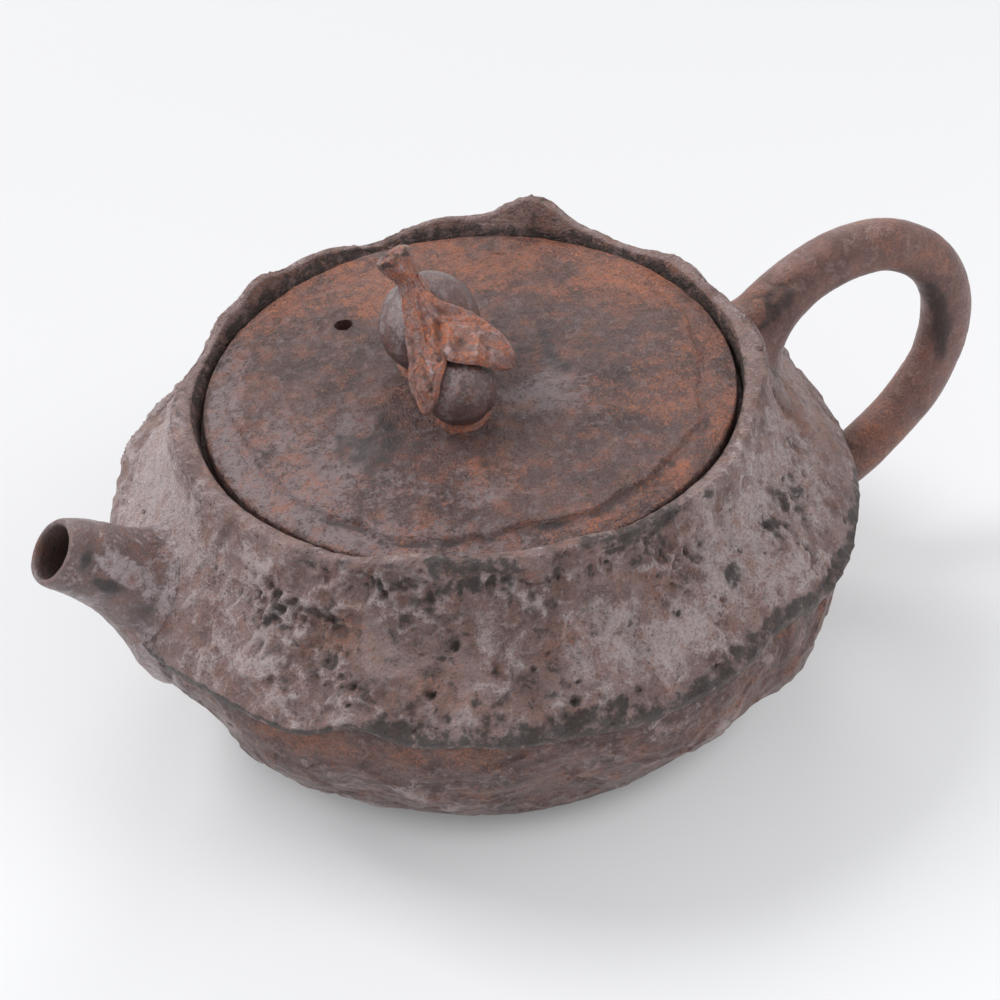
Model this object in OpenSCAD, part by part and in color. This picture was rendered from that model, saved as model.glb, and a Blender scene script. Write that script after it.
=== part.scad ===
// Round clay teapot with a wavy leaf-edged collar, side spout, loop handle and lift-off lid.
// Units are millimetres. +Z is up, the spout points to -X and the handle to +X.
// The origin is the centre of the foot on the table.

/* [Body] */
// Outer radius of the body at its shoulder edge
edge_r = 58; // [50:0.1:66]
// Mean height of the shoulder edge
edge_z = 29.6; // [24:0.1:36]
// Height where the bowl wall starts on the floor slab
bowl_z = 6; // [5:0.5:8]
// Outer radius of the bowl where it starts
bowl_r = 45.7; // [40:0.1:50]
// How far the bowl swells beyond a straight cone
bowl_swell = 2.8; // [0:0.1:5]
// Wall thickness at the shoulder edge
wall = 3.6; // [2.5:0.1:5]
// Height of the seam between shoulder and collar
neck_z = 47.5; // [44:0.1:50]
// Outer radius at that seam
neck_r = 46.5; // [44:0.1:50]

/* [Collar] */
// Inner radius of the collar around the lid
mouth_r = 41.8; // [41.4:0.1:44]
// Outer radius of the collar near its crest
rim_r = 44.9; // [44:0.1:48]
// Height of the collar crest away from its lobes
rim_z = 52.6; // [50:0.1:56]
// Rise of the tallest lobe of the collar
lobe_rise = 4.8; // [0:0.1:8]

/* [Foot] */
// Outer radius of the foot ring
foot_r = 39.8; // [36:0.1:42]
// Inner radius of the foot ring
foot_in_r = 35.4; // [30:0.1:38]
// Height of the foot ring
foot_h = 3; // [2:0.1:4]

/* [Lid] */
// Radius of the lid plate
lid_r = 41; // [38:0.1:42]
// Height of the underside of the lid plate above the table
lid_z = 48; // [46:0.1:49]
// Height of the lid at its outer edge
lid_edge_z = 51.7; // [50:0.1:53]
// Rise of the lid dome from edge to centre
lid_rise = 3.3; // [1:0.1:6]
// Thickness of the lid plate at its centre
lid_t = 4.2; // [3:0.1:5]
// Step between the outer band and the inner dome
lid_step = 0.5; // [0.2:0.1:1]
// Radius of that step
lid_step_r = 36.3; // [30:0.1:39]
// Radius of the vent hole
vent_r = 1.45; // [1:0.05:2]
// Vent hole position along X
vent_x = -12.5; // [-25:0.5:25]
// Vent hole position along Y
vent_y = 21.7; // [-25:0.1:25]
// Outer radius of the flange under the lid
flange_r = 35.8; // [34:0.1:36]
// Depth of the flange under the lid
flange_h = 9; // [5:0.5:12]
// Inner radius of the ledge the lid rests on
seat_r = 36.4; // [36.2:0.1:38]
// Thickness of that ledge
seat_h = 4; // [3:0.5:6]

/* [Spout] */
// Radius of the pouring channel at the mouth
spout_bore_r = 4.15; // [3:0.05:5]
// Upward tilt of the spout mouth in degrees
spout_tilt = 41; // [30:1:60]
// Radius of each strainer hole in the wall
strain_r = 1.3; // [1:0.05:1.5]

/* [Handle] */
// Radius of the handle section at its middle
handle_r = 4.15; // [3:0.05:6]

/* [Knob] */
// Radius of the large fruit
fruit_big_r = 8; // [6:0.1:9]
// Radius of the small fruit
fruit_small_r = 5.8; // [5:0.1:7]
// Radius of the cut end of the stem
stem_r = 2.75; // [1.5:0.1:3]

/* [Hidden] */
$fn = 96;
step_a = 3;
spout_mouth = [-68.1, 0, 45.0];
spout_in = [cos(spout_tilt), 0, -sin(spout_tilt)];
big_c = [-3.7, 5.0, 62.9];
small_c = [-4.4, -9.2, 60.5];
stem_tip = [-7.6, 8.0, 75.9];
clay = [0.40, 0.27, 0.24];
clay_dark = [0.30, 0.22, 0.21];
clay_red = [0.50, 0.28, 0.20];
clay_lid = [0.44, 0.29, 0.24];

// ---- shared rules -------------------------------------------------------

// signed angle between -180 and 180
function wrap(a) = (((a + 180) % 360) + 360) % 360 - 180;
// one rounded lobe of a wavy edge, centred at an angle
function lobe(a, at, width, rise) = rise * exp(-pow(wrap(a - at) / width, 2));

// crest height of the collar round the mouth
function crest_z(a) = rim_z
  + lobe(a, 55, 8, lobe_rise)
  + lobe(a, 74, 8, 0.36 * lobe_rise)
  + lobe(a, 20, 8, 0.3 * lobe_rise)
  + lobe(a, 104, 6, 0.22 * lobe_rise)
  + lobe(a, 118, 6, 0.54 * lobe_rise)
  + lobe(a, 131, 6, 0.28 * lobe_rise)
  + lobe(a, 354, 9, 0.4 * lobe_rise)
  + lobe(a, 165, 12, 0.15 * lobe_rise)
  - lobe(a, 89, 5, 0.3 * lobe_rise)
  + lobe(a, 236, 10, 0.48 * lobe_rise)
  + lobe(a, 253, 11, 0.42 * lobe_rise)
  + lobe(a, 270, 10, 0.48 * lobe_rise)
  + 0.25 * sin(9 * a);

// outer radius of the collar crest, flared where its petals open
function crest_r(a) = rim_r
  + lobe(a, 172, 22, 1.6)
  + lobe(a, 345, 10, 2.0)
  + lobe(a, 55, 9, 0.5)
  + 0.25 * sin(7 * a + 40);

// height and radius of the shoulder edge, which wanders round the body
function ridge_z(a) = edge_z
  + lobe(a, 205, 11, 1.7)
  + lobe(a, 231, 7, 4.6)
  + lobe(a, 246, 9, 2.8)
  + lobe(a, 264, 9, 2.1)
  + lobe(a, 282, 9, 0.8)
  + lobe(a, 301, 9, 2.3)
  - lobe(a, 324, 11, 1.2)
  + lobe(a, 20, 16, 2.0)
  + lobe(a, 95, 18, 2.4)
  + lobe(a, 140, 9, 1.2)
  - lobe(a, 180, 9, 2.0);
function ridge_r(a) = edge_r
  + lobe(a, 335, 22, 1.0)
  - lobe(a, 300, 9, 1.2)
  + 0.25 * sin(6 * a + 50);

// small push in and out of the wall between its smooth ends
function dent(a, u) = sin(180 * u) * (0.55 * sin(5 * a + 140 * u) + 0.4 * sin(11 * a - 200 * u));

function bez(p, t) = pow(1 - t, 3) * p[0] + 3 * t * pow(1 - t, 2) * p[1]
  + 3 * t * t * (1 - t) * p[2] + pow(t, 3) * p[3];
function mix(a, b, t) = a + (b - a) * t;
function unit(v) = v / norm(v);

// outer wall points [r, z]
function bowl_out(a, u) = [
  mix(bowl_r, ridge_r(a), u) + bowl_swell * sin(180 * u) + dent(a, u),
  mix(bowl_z, ridge_z(a), u)];
function shoulder_out(a, u) = bez([
  [ridge_r(a), ridge_z(a)],
  [ridge_r(a) - 0.8, ridge_z(a) + 4.6],
  [48.3, 41.5],
  [neck_r, neck_z]], u) + [dent(a, u), 0];
// inner wall points [r, z]
function bowl_in(a, u) = [
  mix(bowl_r - 4.4, ridge_r(a) - wall, u) + bowl_swell * sin(180 * u),
  mix(bowl_z, ridge_z(a), u)];
function shoulder_in(a, u) = bez([
  [ridge_r(a) - wall, ridge_z(a)],
  [ridge_r(a) - wall - 1.6, ridge_z(a) + 4],
  [44.2, 40.5],
  [mouth_r, neck_z]], u);

function at_angle(p, a) = [p[0] * cos(a), p[0] * sin(a), p[1]];

// ---- solid builders -----------------------------------------------------

// closed ring: every loop in sections is one closed outline at its own angle
module ring_solid(sections, flip) {
  n = len(sections);
  k = len(sections[0]);
  pts = [for (s = sections) each s];
  tris = [for (i = [0:n - 1]) for (j = [0:k - 1])
    let (a = i * k + j)
    let (b = ((i + 1) % n) * k + j)
    let (c = ((i + 1) % n) * k + (j + 1) % k)
    let (d = i * k + (j + 1) % k)
    each (flip ? [[a, c, b], [a, d, c]] : [[a, b, c], [a, c, d]])];
  polyhedron(points = pts, faces = tris, convexity = 8);
}

// closed skin over a row of rings, with a fan on each end
module loft(rings, end_a, end_b) {
  n = len(rings);
  k = len(rings[0]);
  pts = concat([for (r = rings) each r], [end_a, end_b]);
  skin = [for (i = [0:n - 2]) for (j = [0:k - 1])
    let (a = i * k + j)
    let (b = i * k + (j + 1) % k)
    let (c = (i + 1) * k + (j + 1) % k)
    let (d = (i + 1) * k + j)
    each [[a, b, c], [a, c, d]]];
  cap_a = [for (j = [0:k - 1]) [n * k, (j + 1) % k, j]];
  cap_b = [for (j = [0:k - 1]) [n * k + 1, (n - 1) * k + j, (n - 1) * k + (j + 1) % k]];
  polyhedron(points = pts, faces = concat(skin, cap_a, cap_b), convexity = 6);
}

// oval ring of k points about c: side and top are its half axes
function oval(c, side, top, k) = [for (j = [0:k - 1])
  c + side * cos(360 * j / k) + top * sin(360 * j / k)];

// ---- pot ----------------------------------------------------------------

module foot_ring() {
  color(clay_dark)
  rotate_extrude()
  polygon([
    [foot_in_r, 0],
    [foot_r - 0.8, 0],
    [foot_r, 0.8],
    [foot_r, foot_h],
    [foot_in_r, foot_h]]);
}

module floor_slab() {
  color(clay_dark)
  rotate_extrude()
  polygon([
    [0, foot_h],
    [foot_r + 1.6, foot_h],
    [foot_r + 3.4, foot_h + 1],
    [bowl_r, bowl_z],
    [0, bowl_z]]);
}

module bowl_wall() {
  outer = 12;
  inner = 5;
  secs = [for (a = [0:step_a:359.9]) concat(
    [for (i = [0:outer]) at_angle(bowl_out(a, i / outer), a)],
    [for (i = [inner:-1:0]) at_angle(bowl_in(a, i / inner), a)])];
  color(clay) ring_solid(secs, false);
}

module shoulder_wall() {
  outer = 12;
  inner = 5;
  secs = [for (a = [0:step_a:359.9]) concat(
    [for (i = [outer:-1:0]) at_angle(shoulder_out(a, i / outer), a)],
    [for (i = [0:inner]) at_angle(shoulder_in(a, i / inner), a)])];
  color(clay)
  difference() {
    ring_solid(secs, true);
    strainer_holes();
  }
}

module along_spout() {
  translate(spout_mouth)
  rotate([0, 90 + spout_tilt, 0])
  children();
}

// seven small holes through the wall behind the spout
module strainer_holes() {
  along_spout()
  for (i = [0:6])
  translate([i == 0 ? 0 : 3.1 * cos(60 * i), i == 0 ? 0 : 3.1 * sin(60 * i), 12])
  cylinder(r = strain_r, h = 14, $fn = 24);
}

module collar() {
  secs = [for (a = [0:step_a:359.9])
    let (r = crest_r(a))
    let (z = crest_z(a))
    [for (p = [
      [neck_r, neck_z],
      [mix(neck_r, r, 0.6), mix(neck_z, z, 0.35)],
      [r + 0.1, mix(neck_z, z, 0.75)],
      [r, z - 0.9],
      [r - 0.5, z - 0.2],
      [r - 1.3, z],
      [r - 2.2, z - 0.4],
      [r - 2.7, z - 1.2],
      [mix(mouth_r, r - 2.8, 0.4), mix(neck_z, z, 0.62)],
      [mouth_r, neck_z + 1.8],
      [mouth_r, neck_z]]) at_angle(p, a)]];
  color(clay) ring_solid(secs, false);
}

module lid_seat() {
  top = lid_z;
  low = lid_z - seat_h;
  color(clay_dark)
  rotate_extrude()
  polygon([
    [seat_r, low],
    [mouth_r - 0.4, low - 3],
    [mouth_r + 0.9, low - 3],
    [mouth_r - 0.05, low + 2],
    [mouth_r - 0.05, top],
    [seat_r, top]]);
}

function spout_axis(t) = bez([
  spout_mouth,
  [-61.6, 0, 40.9],
  [-56.8, 0, 35.6],
  [-47.6, 0, 25.0]], t);
function spout_rad(t) = 5.35 + 2.6 * t + 1.0 * pow(t, 4);

module spout() {
  n = 14;
  k = 36;
  rings = [for (i = [0:n])
    let (t = i / n)
    let (d = unit(spout_axis(t + 0.01) - spout_axis(t - 0.01)))
    let (q = t < 0.3 ? unit(mix(spout_in, d, t / 0.3)) : d)
    let (r = spout_rad(t))
    oval(spout_axis(t), [0, r, 0], r * cross([0, 1, 0], q), k)];
  color(clay)
  difference() {
    loft(rings, spout_axis(0), spout_axis(1));
    along_spout() translate([0, 0, -2]) cylinder(r = spout_bore_r, h = 13, $fn = 48);
    along_spout() translate([0, 0, 10.9]) cylinder(r1 = spout_bore_r, r2 = 5.6, h = 12, $fn = 48);
    wall_core();
  }
}

// smooth drum that stays about 1 mm under the outside of the body wall
module wall_core() {
  rotate_extrude()
  polygon([
    [0, 3.5],
    [41.5, 3.5],
    [44.6, 6.4],
    [49.6, 11],
    [53.4, 17],
    [55.8, 22.5],
    [56.8, 27],
    [56.2, 31],
    [54.0, 34.8],
    [51.0, 38.4],
    [48.2, 41.8],
    [46.3, 44.6],
    [45.4, 47.5],
    [44.4, 50.5],
    [43.6, 56],
    [0, 56]]);
}

// centre line of the loop handle in the plane y = 0, as four joined curves
function handle_part(i) =
  i == 0 ? [[45.5, 0, 42.6], [49.0, 0, 51.2], [56.3, 0, 57.3], [65.7, 0, 57.3]] :
  i == 1 ? [[65.7, 0, 57.3], [73.6, 0, 57.3], [80.9, 0, 51.0], [80.9, 0, 41.5]] :
  i == 2 ? [[80.9, 0, 41.5], [80.9, 0, 33.2], [74.7, 0, 26.8], [69.2, 0, 21.8]] :
  [[69.2, 0, 21.8], [64.8, 0, 17.7], [60.2, 0, 12.8], [46.5, 0, 12.2]];
function handle_axis(t) = bez(handle_part(min(3, floor(t))), t - min(3, floor(t)));
function handle_rad(t) =
  handle_r + 1.9 * exp(-t / 0.28) + 1.2 * exp(-(4 - t) / 0.3) - 0.3 * min(1, max(0, t - 1.5));

module handle() {
  n = 56;
  k = 28;
  rings = [for (i = [0:n])
    let (t = 4 * i / n)
    let (d = unit(handle_axis(min(4, t + 0.02)) - handle_axis(max(0, t - 0.02))))
    let (r = handle_rad(t))
    oval(handle_axis(t), [0, r, 0], r * cross([0, 1, 0], d), k)];
  color(clay_red)
  difference() {
    loft(rings, handle_axis(0), handle_axis(4));
    wall_core();
  }
}

// ---- lid ----------------------------------------------------------------

// outline of the lid top from the centre out to radius r
function dome_z(r) = lid_top() - lid_rise * pow(r / lid_r, 2);
function lid_top() = lid_edge_z + lid_step + lid_rise;

module lid_plate() {
  n = 10;
  sag = dome_z(flange_r - 3) - lid_t - lid_z - 0.02;
  color(clay_lid)
  difference() {
    rotate_extrude()
    polygon(concat(
      [for (i = [0:n]) let (r = (flange_r - 3) * i / n) [r, dome_z(r) - lid_t - sag * pow(i / n, 4)]],
      [[flange_r - 3, lid_z], [lid_r - 0.4, lid_z], [lid_r, lid_z + 0.4], [lid_r, lid_edge_z - 0.8]],
      [[lid_r - 0.3, lid_edge_z - 0.2], [lid_r - 1, lid_edge_z]],
      [[lid_step_r + 0.6, dome_z(lid_step_r) - lid_step], [lid_step_r, dome_z(lid_step_r) - 0.15]],
      [for (i = [n:-1:0]) [(lid_step_r - 0.5) * i / n, dome_z((lid_step_r - 0.5) * i / n)]]));
    translate([vent_x, vent_y, lid_z - 1]) cylinder(r = vent_r, h = 12, $fn = 32);
  }
}

module lid_flange() {
  color(clay_dark)
  translate([0, 0, lid_z - flange_h])
  difference() {
    cylinder(r = flange_r, h = flange_h);
    translate([0, 0, -1]) cylinder(r1 = flange_r - 2.2, r2 = flange_r - 2.9, h = flange_h + 2);
  }
}

// ---- knob ---------------------------------------------------------------

module knob_pad() {
  color(clay_red)
  translate([0, 0, lid_top() - 0.55])
  union() {
    translate([big_c[0], big_c[1], 0]) cylinder(r1 = 5.3, r2 = 3.8, h = 1.5, $fn = 48);
    translate([small_c[0], small_c[1], 0]) cylinder(r1 = 4.8, r2 = 3.2, h = 1.4, $fn = 48);
  }
}

module fruit_big() {
  color(clay_dark)
  difference() {
    translate(big_c) sphere(r = fruit_big_r);
    translate(small_c) sphere(r = fruit_small_r);
  }
}

module fruit_small() {
  color(clay_dark)
  translate(small_c) sphere(r = fruit_small_r);
}

module knob_stem() {
  n = 12;
  k = 20;
  line = [[-5.0, 4.6, 68.6], [-6.0, 5.6, 70.6], [-6.8, 6.4, 73.0], stem_tip];
  rings = [for (i = [0:n])
    let (t = i / n)
    let (d = unit(bez(line, t + 0.02) - bez(line, t - 0.02)))
    let (r = mix(2.6, 1.9, min(1, t * 2.5)) + (stem_r - 1.9) * pow(t, 3))
    let (side = unit(cross(d, [0, 1, 0])))
    oval(bez(line, t), r * side, r * cross(d, side), k)];
  color(clay_red) loft(rings, bez(line, 0), bez(line, 1));
}

// leaf: an oval section that widens from the stalk and narrows to a rounded tip
module leaf(line, side, half, thick, tip) {
  n = 18;
  k = 20;
  rings = [for (i = [0:n])
    let (t = i / n)
    let (d = unit(bez(line, t + 0.02) - bez(line, t - 0.02)))
    let (s = unit(side - d * (side * d)))
    let (w = mix(1.5, half, pow(sin(90 * min(1, t / 0.55)), 1.4))
      * (t < 0.55 ? 1 : sqrt(max(0.002, 1 - pow((t - 0.55) / 0.46, 2)) * (1 - tip) + tip * (1 - t))))
    let (h = thick * (0.35 + 0.65 * sqrt(max(0.01, 1 - pow(2 * t - 1, 4)))))
    oval(bez(line, t), w * s, h * cross(d, s), k)];
  loft(rings, bez(line, 0), bez(line, 1));
}

module leaf_long() {
  color(clay_red)
  leaf([[-6.0, 5.1, 70.9], [-5.2, -2.0, 71.2], [-1.2, -10.6, 67.0], [4.6, -10.4, 62.9]],
    [6.8, 9.0, 0.8], 5.6, 1.15, 0.35);
}

module leaf_short() {
  color(clay_red)
  leaf([[-7.0, 4.4, 70.6], [-7.9, -1.6, 69.6], [-9.8, -9.4, 63.4], [-10.1, -12.4, 59.4]],
    [2.9, -3.2, 1.8], 3.0, 1.05, 0.3);
}

// ---- output -------------------------------------------------------------

foot_ring();
floor_slab();
bowl_wall();
shoulder_wall();
collar();
lid_seat();
spout();
handle();
lid_flange();
lid_plate();
knob_pad();
fruit_big();
fruit_small();
knob_stem();
leaf_long();
leaf_short();
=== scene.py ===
"""Looks for the clay teapot: hand-worked skins over the CAD solids, clay materials, light and camera."""
import math

import bmesh
import bpy
import numpy as np
from mathutils import Matrix, Vector


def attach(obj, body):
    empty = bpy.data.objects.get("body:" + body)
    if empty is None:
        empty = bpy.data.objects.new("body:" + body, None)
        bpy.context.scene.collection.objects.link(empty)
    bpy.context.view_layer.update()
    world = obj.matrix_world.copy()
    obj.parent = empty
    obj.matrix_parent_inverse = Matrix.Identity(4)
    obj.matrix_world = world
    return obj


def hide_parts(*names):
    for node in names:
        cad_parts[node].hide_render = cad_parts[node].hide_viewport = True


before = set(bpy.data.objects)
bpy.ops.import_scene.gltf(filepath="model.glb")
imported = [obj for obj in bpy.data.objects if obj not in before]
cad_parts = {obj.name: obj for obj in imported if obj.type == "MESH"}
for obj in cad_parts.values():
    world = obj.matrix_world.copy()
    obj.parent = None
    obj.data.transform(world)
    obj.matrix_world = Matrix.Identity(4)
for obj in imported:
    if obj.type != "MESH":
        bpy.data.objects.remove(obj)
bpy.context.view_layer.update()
MM = 0.001


# ---- noise and masks ------------------------------------------------------

TABLE = 4096


def smooth(x, a, b):
    """0 at a, 1 at b, with soft ends."""
    t = np.clip((np.asarray(x, float) - a) / (b - a), 0, 1)
    return t * t * (3 - 2 * t)


def mix(a, b, t):
    return a + (b - a) * t


def wrap(a):
    """Signed angle in degrees between -180 and 180."""
    return (np.asarray(a, float) + 180) % 360 - 180


def lobe(a, at, width, rise=1):
    return rise * np.exp(-(wrap(a - at) / width) ** 2)


def lobes(a, rows):
    """Sum of lobes: rows of (angle, width in degrees, rise)."""
    return sum(lobe(a, *row) for row in rows)


def hill(x, at, width):
    return np.exp(-((x - at) / width) ** 2)


def spots(a, z, rows):
    """Sum of soft oval marks on the wall: rows of (angle, height, width in degrees, half height, weight)."""
    return sum(lobe(a, at, width, weight) * hill(z, h, tall) for at, h, width, tall, weight in rows)


def creases(a, z, rows):
    """Narrow grooves up the wall: rows of (angle, height, half length, lean, width, weight), the lean in
    degrees a mm."""
    return sum(lobe(a, at + lean * (z - h), width, weight) * hill(z, h, reach)
               for at, h, reach, lean, width, weight in rows)


def patches(x, y, rows):
    """Sum of soft round marks on the lid: rows of (x, y, radius, weight)."""
    return sum(weight * hill(np.hypot(x - px, y - py), 0, reach) for px, py, reach, weight in rows)


def flanks(s, turn, rows):
    """Sum of soft marks on a tube: rows of (place along it, half length, turn, width in degrees, weight)."""
    return sum(hill(s, at, reach) * lobe(turn, side, width, part) for at, reach, side, width, part in rows)


def lattice(seed):
    rng = np.random.RandomState(seed)
    g = rng.normal(size=(TABLE, 3))
    g /= np.linalg.norm(g, axis=1)[:, None]
    return g, rng.permutation(TABLE), rng.rand(TABLE, 5)


LATTICES = {}


def hashed(cell, seed):
    if seed not in LATTICES:
        LATTICES[seed] = lattice(seed)
    g, perm, rand = LATTICES[seed]
    m = TABLE - 1
    return g, rand, perm[(perm[(perm[cell[:, 0] & m] + cell[:, 1]) & m] + cell[:, 2]) & m]


def noise(p, scale, seed=0):
    """Gradient noise of about -1 to 1 at points p in mm; scale is the size of one cell in mm."""
    q = p / scale
    i = np.floor(q).astype(np.int64)
    f = q - i
    w = f * f * f * (f * (f * 6 - 15) + 10)
    out = np.zeros(len(p))
    for corner in np.ndindex(2, 2, 2):
        g, _, h = hashed(i + corner, seed)
        near = np.where(corner, w, 1 - w).prod(1)
        out += near * (g[h] * (f - corner)).sum(1)
    return out * 1.6


def fbm(p, scale, octaves=3, seed=0, gain=0.5):
    amp = gain ** np.arange(octaves)
    return sum(k * noise(p, scale / 2 ** n, seed + n) for n, k in enumerate(amp)) / amp.sum()


def warp(p, scale, amount, seed):
    """Points pushed about by noise, so that what is drawn at them loses its regular outline."""
    return p + amount * np.stack([noise(p, scale, seed + k) for k in range(3)], -1)


def drift(p, bend, amount, scale, seed):
    """Noise in three octaves whose patches are warped out of shape."""
    return fbm(warp(p, bend, amount, seed), scale, 3, seed + 3)


def veins(p, scale, seed, sharp=2.6):
    """Thin wandering crest lines: 1 on a line, 0 between."""
    return np.clip(1 - np.abs(noise(p, scale, seed)) * sharp, 0, 1) ** 1.5


def pits(p, size, fill, small, large, seed):
    """Ragged pits, at most one in each cell of the given size: how deep in a pit each point is (0 to 1) and
    that pit's radius in mm. fill, from 0 to 1, says what share of the cells holds one."""
    q = warp(p, 0.45 * size, 0.16 * size, seed) / size
    i = np.floor(q).astype(np.int64)
    f = q - i
    best, radius = np.full(len(p), 9), np.full(len(p), small)
    for step in np.ndindex(3, 3, 3):
        off = np.array(step) - 1
        _, rand, h = hashed(i + off, seed + 7)
        r = mix(small, large, rand[h, 3] ** 2)
        d = np.linalg.norm((f - off - rand[h, :3]) * size, axis=1) / r
        d = np.where(rand[h, 4] < fill, d, 9)
        closer = d < best
        best, radius = np.where(closer, d, best), np.where(closer, r, radius)
    return smooth(best, 1.15, 0.35), radius


# ---- shape rules in mm, the same as in the CAD -----------------------------

EDGE_R, EDGE_Z, WALL = 58, 29.6, 3.6
BOWL_R, BOWL_Z, BOWL_SWELL = 45.7, 6, 2.8
NECK_R, NECK_Z = 46.5, 47.5
MOUTH_R, RIM_R, RIM_Z, LOBE = 41.8, 44.9, 52.6, 4.8
FOOT_R, FOOT_IN_R, FOOT_H = 39.8, 35.4, 3
LID_R, LID_Z, LID_EDGE_Z, LID_RISE = 41, 48, 51.7, 3.3
LID_STEP, LID_STEP_R, LID_T, FLANGE_R = 0.5, 36.3, 4.2, 35.8
LID_TOP = LID_EDGE_Z + LID_STEP + LID_RISE
VENT = np.array([-12.5, 21.7])
VENT_R = 1.45
SPOUT_TILT = math.radians(41)
SPOUT_BORE = 4.15
SPOUT_MOUTH = np.array([-68.1, 0, 45])
SPOUT_LINE = [SPOUT_MOUTH, (-61.6, 0, 41.1), (-56.5, 0, 36.1), (-47.4, 0, 25.4)]
SPOUT_IN = np.array([math.cos(SPOUT_TILT), 0, -math.sin(SPOUT_TILT)])
HANDLE_R = 4.15
HANDLE_PARTS = [
    [(45.5, 0, 42.6), (49, 0, 51.2), (56.3, 0, 57.3), (65.7, 0, 57.3)],
    [(65.7, 0, 57.3), (73.6, 0, 57.3), (80.9, 0, 51), (80.9, 0, 41.5)],
    [(80.9, 0, 41.5), (80.9, 0, 32.6), (76.1, 0, 25.7), (70, 0, 20.9)],
    [(70, 0, 20.9), (65.1, 0, 17.1), (60.4, 0, 12.6), (46.5, 0, 12.1)]]
BIG_C, BIG_R = np.array([-3.7, 5, 62.9]), 8
SMALL_C, SMALL_R = np.array([-4.4, -9.2, 60.5]), 5.8
STEM_TIP, STEM_R, STEM_NECK = np.array([-7.6, 8, 75.9]), 2.75, 1.85


def bez(p, t):
    """Cubic curve through the control points p at parameters t."""
    t = np.asarray(t, float)[..., None]
    p = [np.asarray(q, float) for q in p]
    return (1 - t) ** 3 * p[0] + 3 * t * (1 - t) ** 2 * p[1] + 3 * t * t * (1 - t) * p[2] + t ** 3 * p[3]


def through(points, t):
    """Smooth curve that passes through all the points, at parameters t from 0 to 1."""
    k = np.asarray(points, float)
    s = np.clip(np.asarray(t, float), 0, 1) * (len(k) - 1)
    i = np.minimum(s.astype(int), len(k) - 2)
    f = (s - i).reshape(i.shape + (1,) * (k.ndim - 1))
    a, b, c, d = k[np.maximum(i - 1, 0)], k[i], k[i + 1], k[np.minimum(i + 2, len(k) - 1)]
    curve = 2 * b + (c - a) * f + (2 * a - 5 * b + 4 * c - d) * f ** 2 + (3 * b - a - 3 * c + d) * f ** 3
    return 0.5 * curve


def sind(a):
    return np.sin(np.radians(a))


def crest_z(a):
    rows = [(55, 8, 1), (74, 8, 0.36), (20, 8, 0.3), (104, 6, 0.22), (118, 6, 0.54), (131, 6, 0.28),
            (354, 9, 0.4), (165, 12, 0.15), (89, 5, -0.3), (236, 10, 0.48), (253, 11, 0.42), (270, 10, 0.48)]
    return RIM_Z + 0.25 * sind(9 * a) + LOBE * lobes(a, rows)


def crest_r(a):
    return RIM_R + lobes(a, [(172, 22, 1.6), (345, 10, 2), (55, 9, 0.5)]) + 0.25 * sind(7 * a + 40)


def ridge_z(a):
    rows = [(205, 11, 1.7), (231, 7, 4.6), (246, 9, 2.8), (264, 9, 2.1), (282, 9, 0.8), (301, 9, 2.3),
            (324, 11, -1.2), (20, 16, 2), (95, 18, 2.4), (140, 9, 1.2), (180, 9, -2)]
    return EDGE_Z + lobes(a, rows)


def ridge_r(a):
    return EDGE_R + lobes(a, [(335, 22, 1), (300, 9, -1.2)]) + 0.25 * sind(6 * a + 50)


def dent(a, u):
    return sind(180 * u) * (0.55 * sind(5 * a + 140 * u) + 0.4 * sind(11 * a - 200 * u))


def dome_z(r):
    return LID_TOP - LID_RISE * (r / LID_R) ** 2


def wall_radius(z):
    """Outer radius of the pot wall at a height, away from its waves."""
    return np.interp(z, [3, 6.4, 11, 17, 22.5, 27, 31, 34.8, 38.4, 41.8, 44.6, 47.5, 50.5, 56],
                     [43, 46, 50.6, 54.4, 56.8, 57.8, 57.2, 55, 52, 49.2, 47.3, 46.4, 45.4, 44.6])


# ---- mesh building --------------------------------------------------------

def ring(r, z, a):
    """Points at radius r and height z for the angles a."""
    return np.stack([r * np.cos(np.radians(a)), r * np.sin(np.radians(a)), z + 0 * a], -1)


def polar(p):
    return np.degrees(np.arctan2(p[:, 1], p[:, 0])) % 360, np.hypot(p[:, 0], p[:, 1]), p[:, 2]


def unit(v):
    return v / np.maximum(np.linalg.norm(v, axis=-1, keepdims=True), 1e-12)


def grid_normals(g, closed_u, closed_v):
    """Unit normals of a grid of points g[u, v]."""
    def diff(axis, closed):
        return np.roll(g, -1, axis) - np.roll(g, 1, axis) if closed else np.gradient(g, axis=axis)
    return unit(np.cross(diff(0, closed_u), diff(1, closed_v))).reshape(-1, 3)


def grid_faces(nu, nv, closed_u, closed_v):
    u0, v0 = np.arange(nu if closed_u else nu - 1), np.arange(nv if closed_v else nv - 1)
    uu, vv = np.meshgrid(u0, v0, indexing="ij")
    u1, v1 = (uu + 1) % nu, (vv + 1) % nv
    return np.stack([uu * nv + vv, u1 * nv + vv, u1 * nv + v1, uu * nv + v1], -1).reshape(-1, 4).tolist()


def fan(loop, tip):
    """Triangles from a closed loop of vertex numbers to one more vertex."""
    return [[tip, loop[j], loop[(j + 1) % len(loop)]] for j in range(len(loop))]


def tube_faces(nu, nv):
    """Faces of a tube (u along, v round), its ends closed to two vertices after the grid."""
    end = nu * nv
    return (grid_faces(nu, nv, False, True) + fan(list(range(nv)), end)
            + fan(list(range(end - nv, end)), end + 1))


def turned_faces(nu, nv):
    """Faces of a turned shape (u round, v along its outline), closed to two vertices after the grid."""
    end = nu * nv
    return (grid_faces(nu, nv, True, False) + fan(list(range(0, end, nv)), end)
            + fan(list(range(nv - 1, end, nv)), end + 1))


def add_object(name, data):
    o = bpy.data.objects.new(name, data)
    bpy.context.scene.collection.objects.link(o)
    return o


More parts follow.
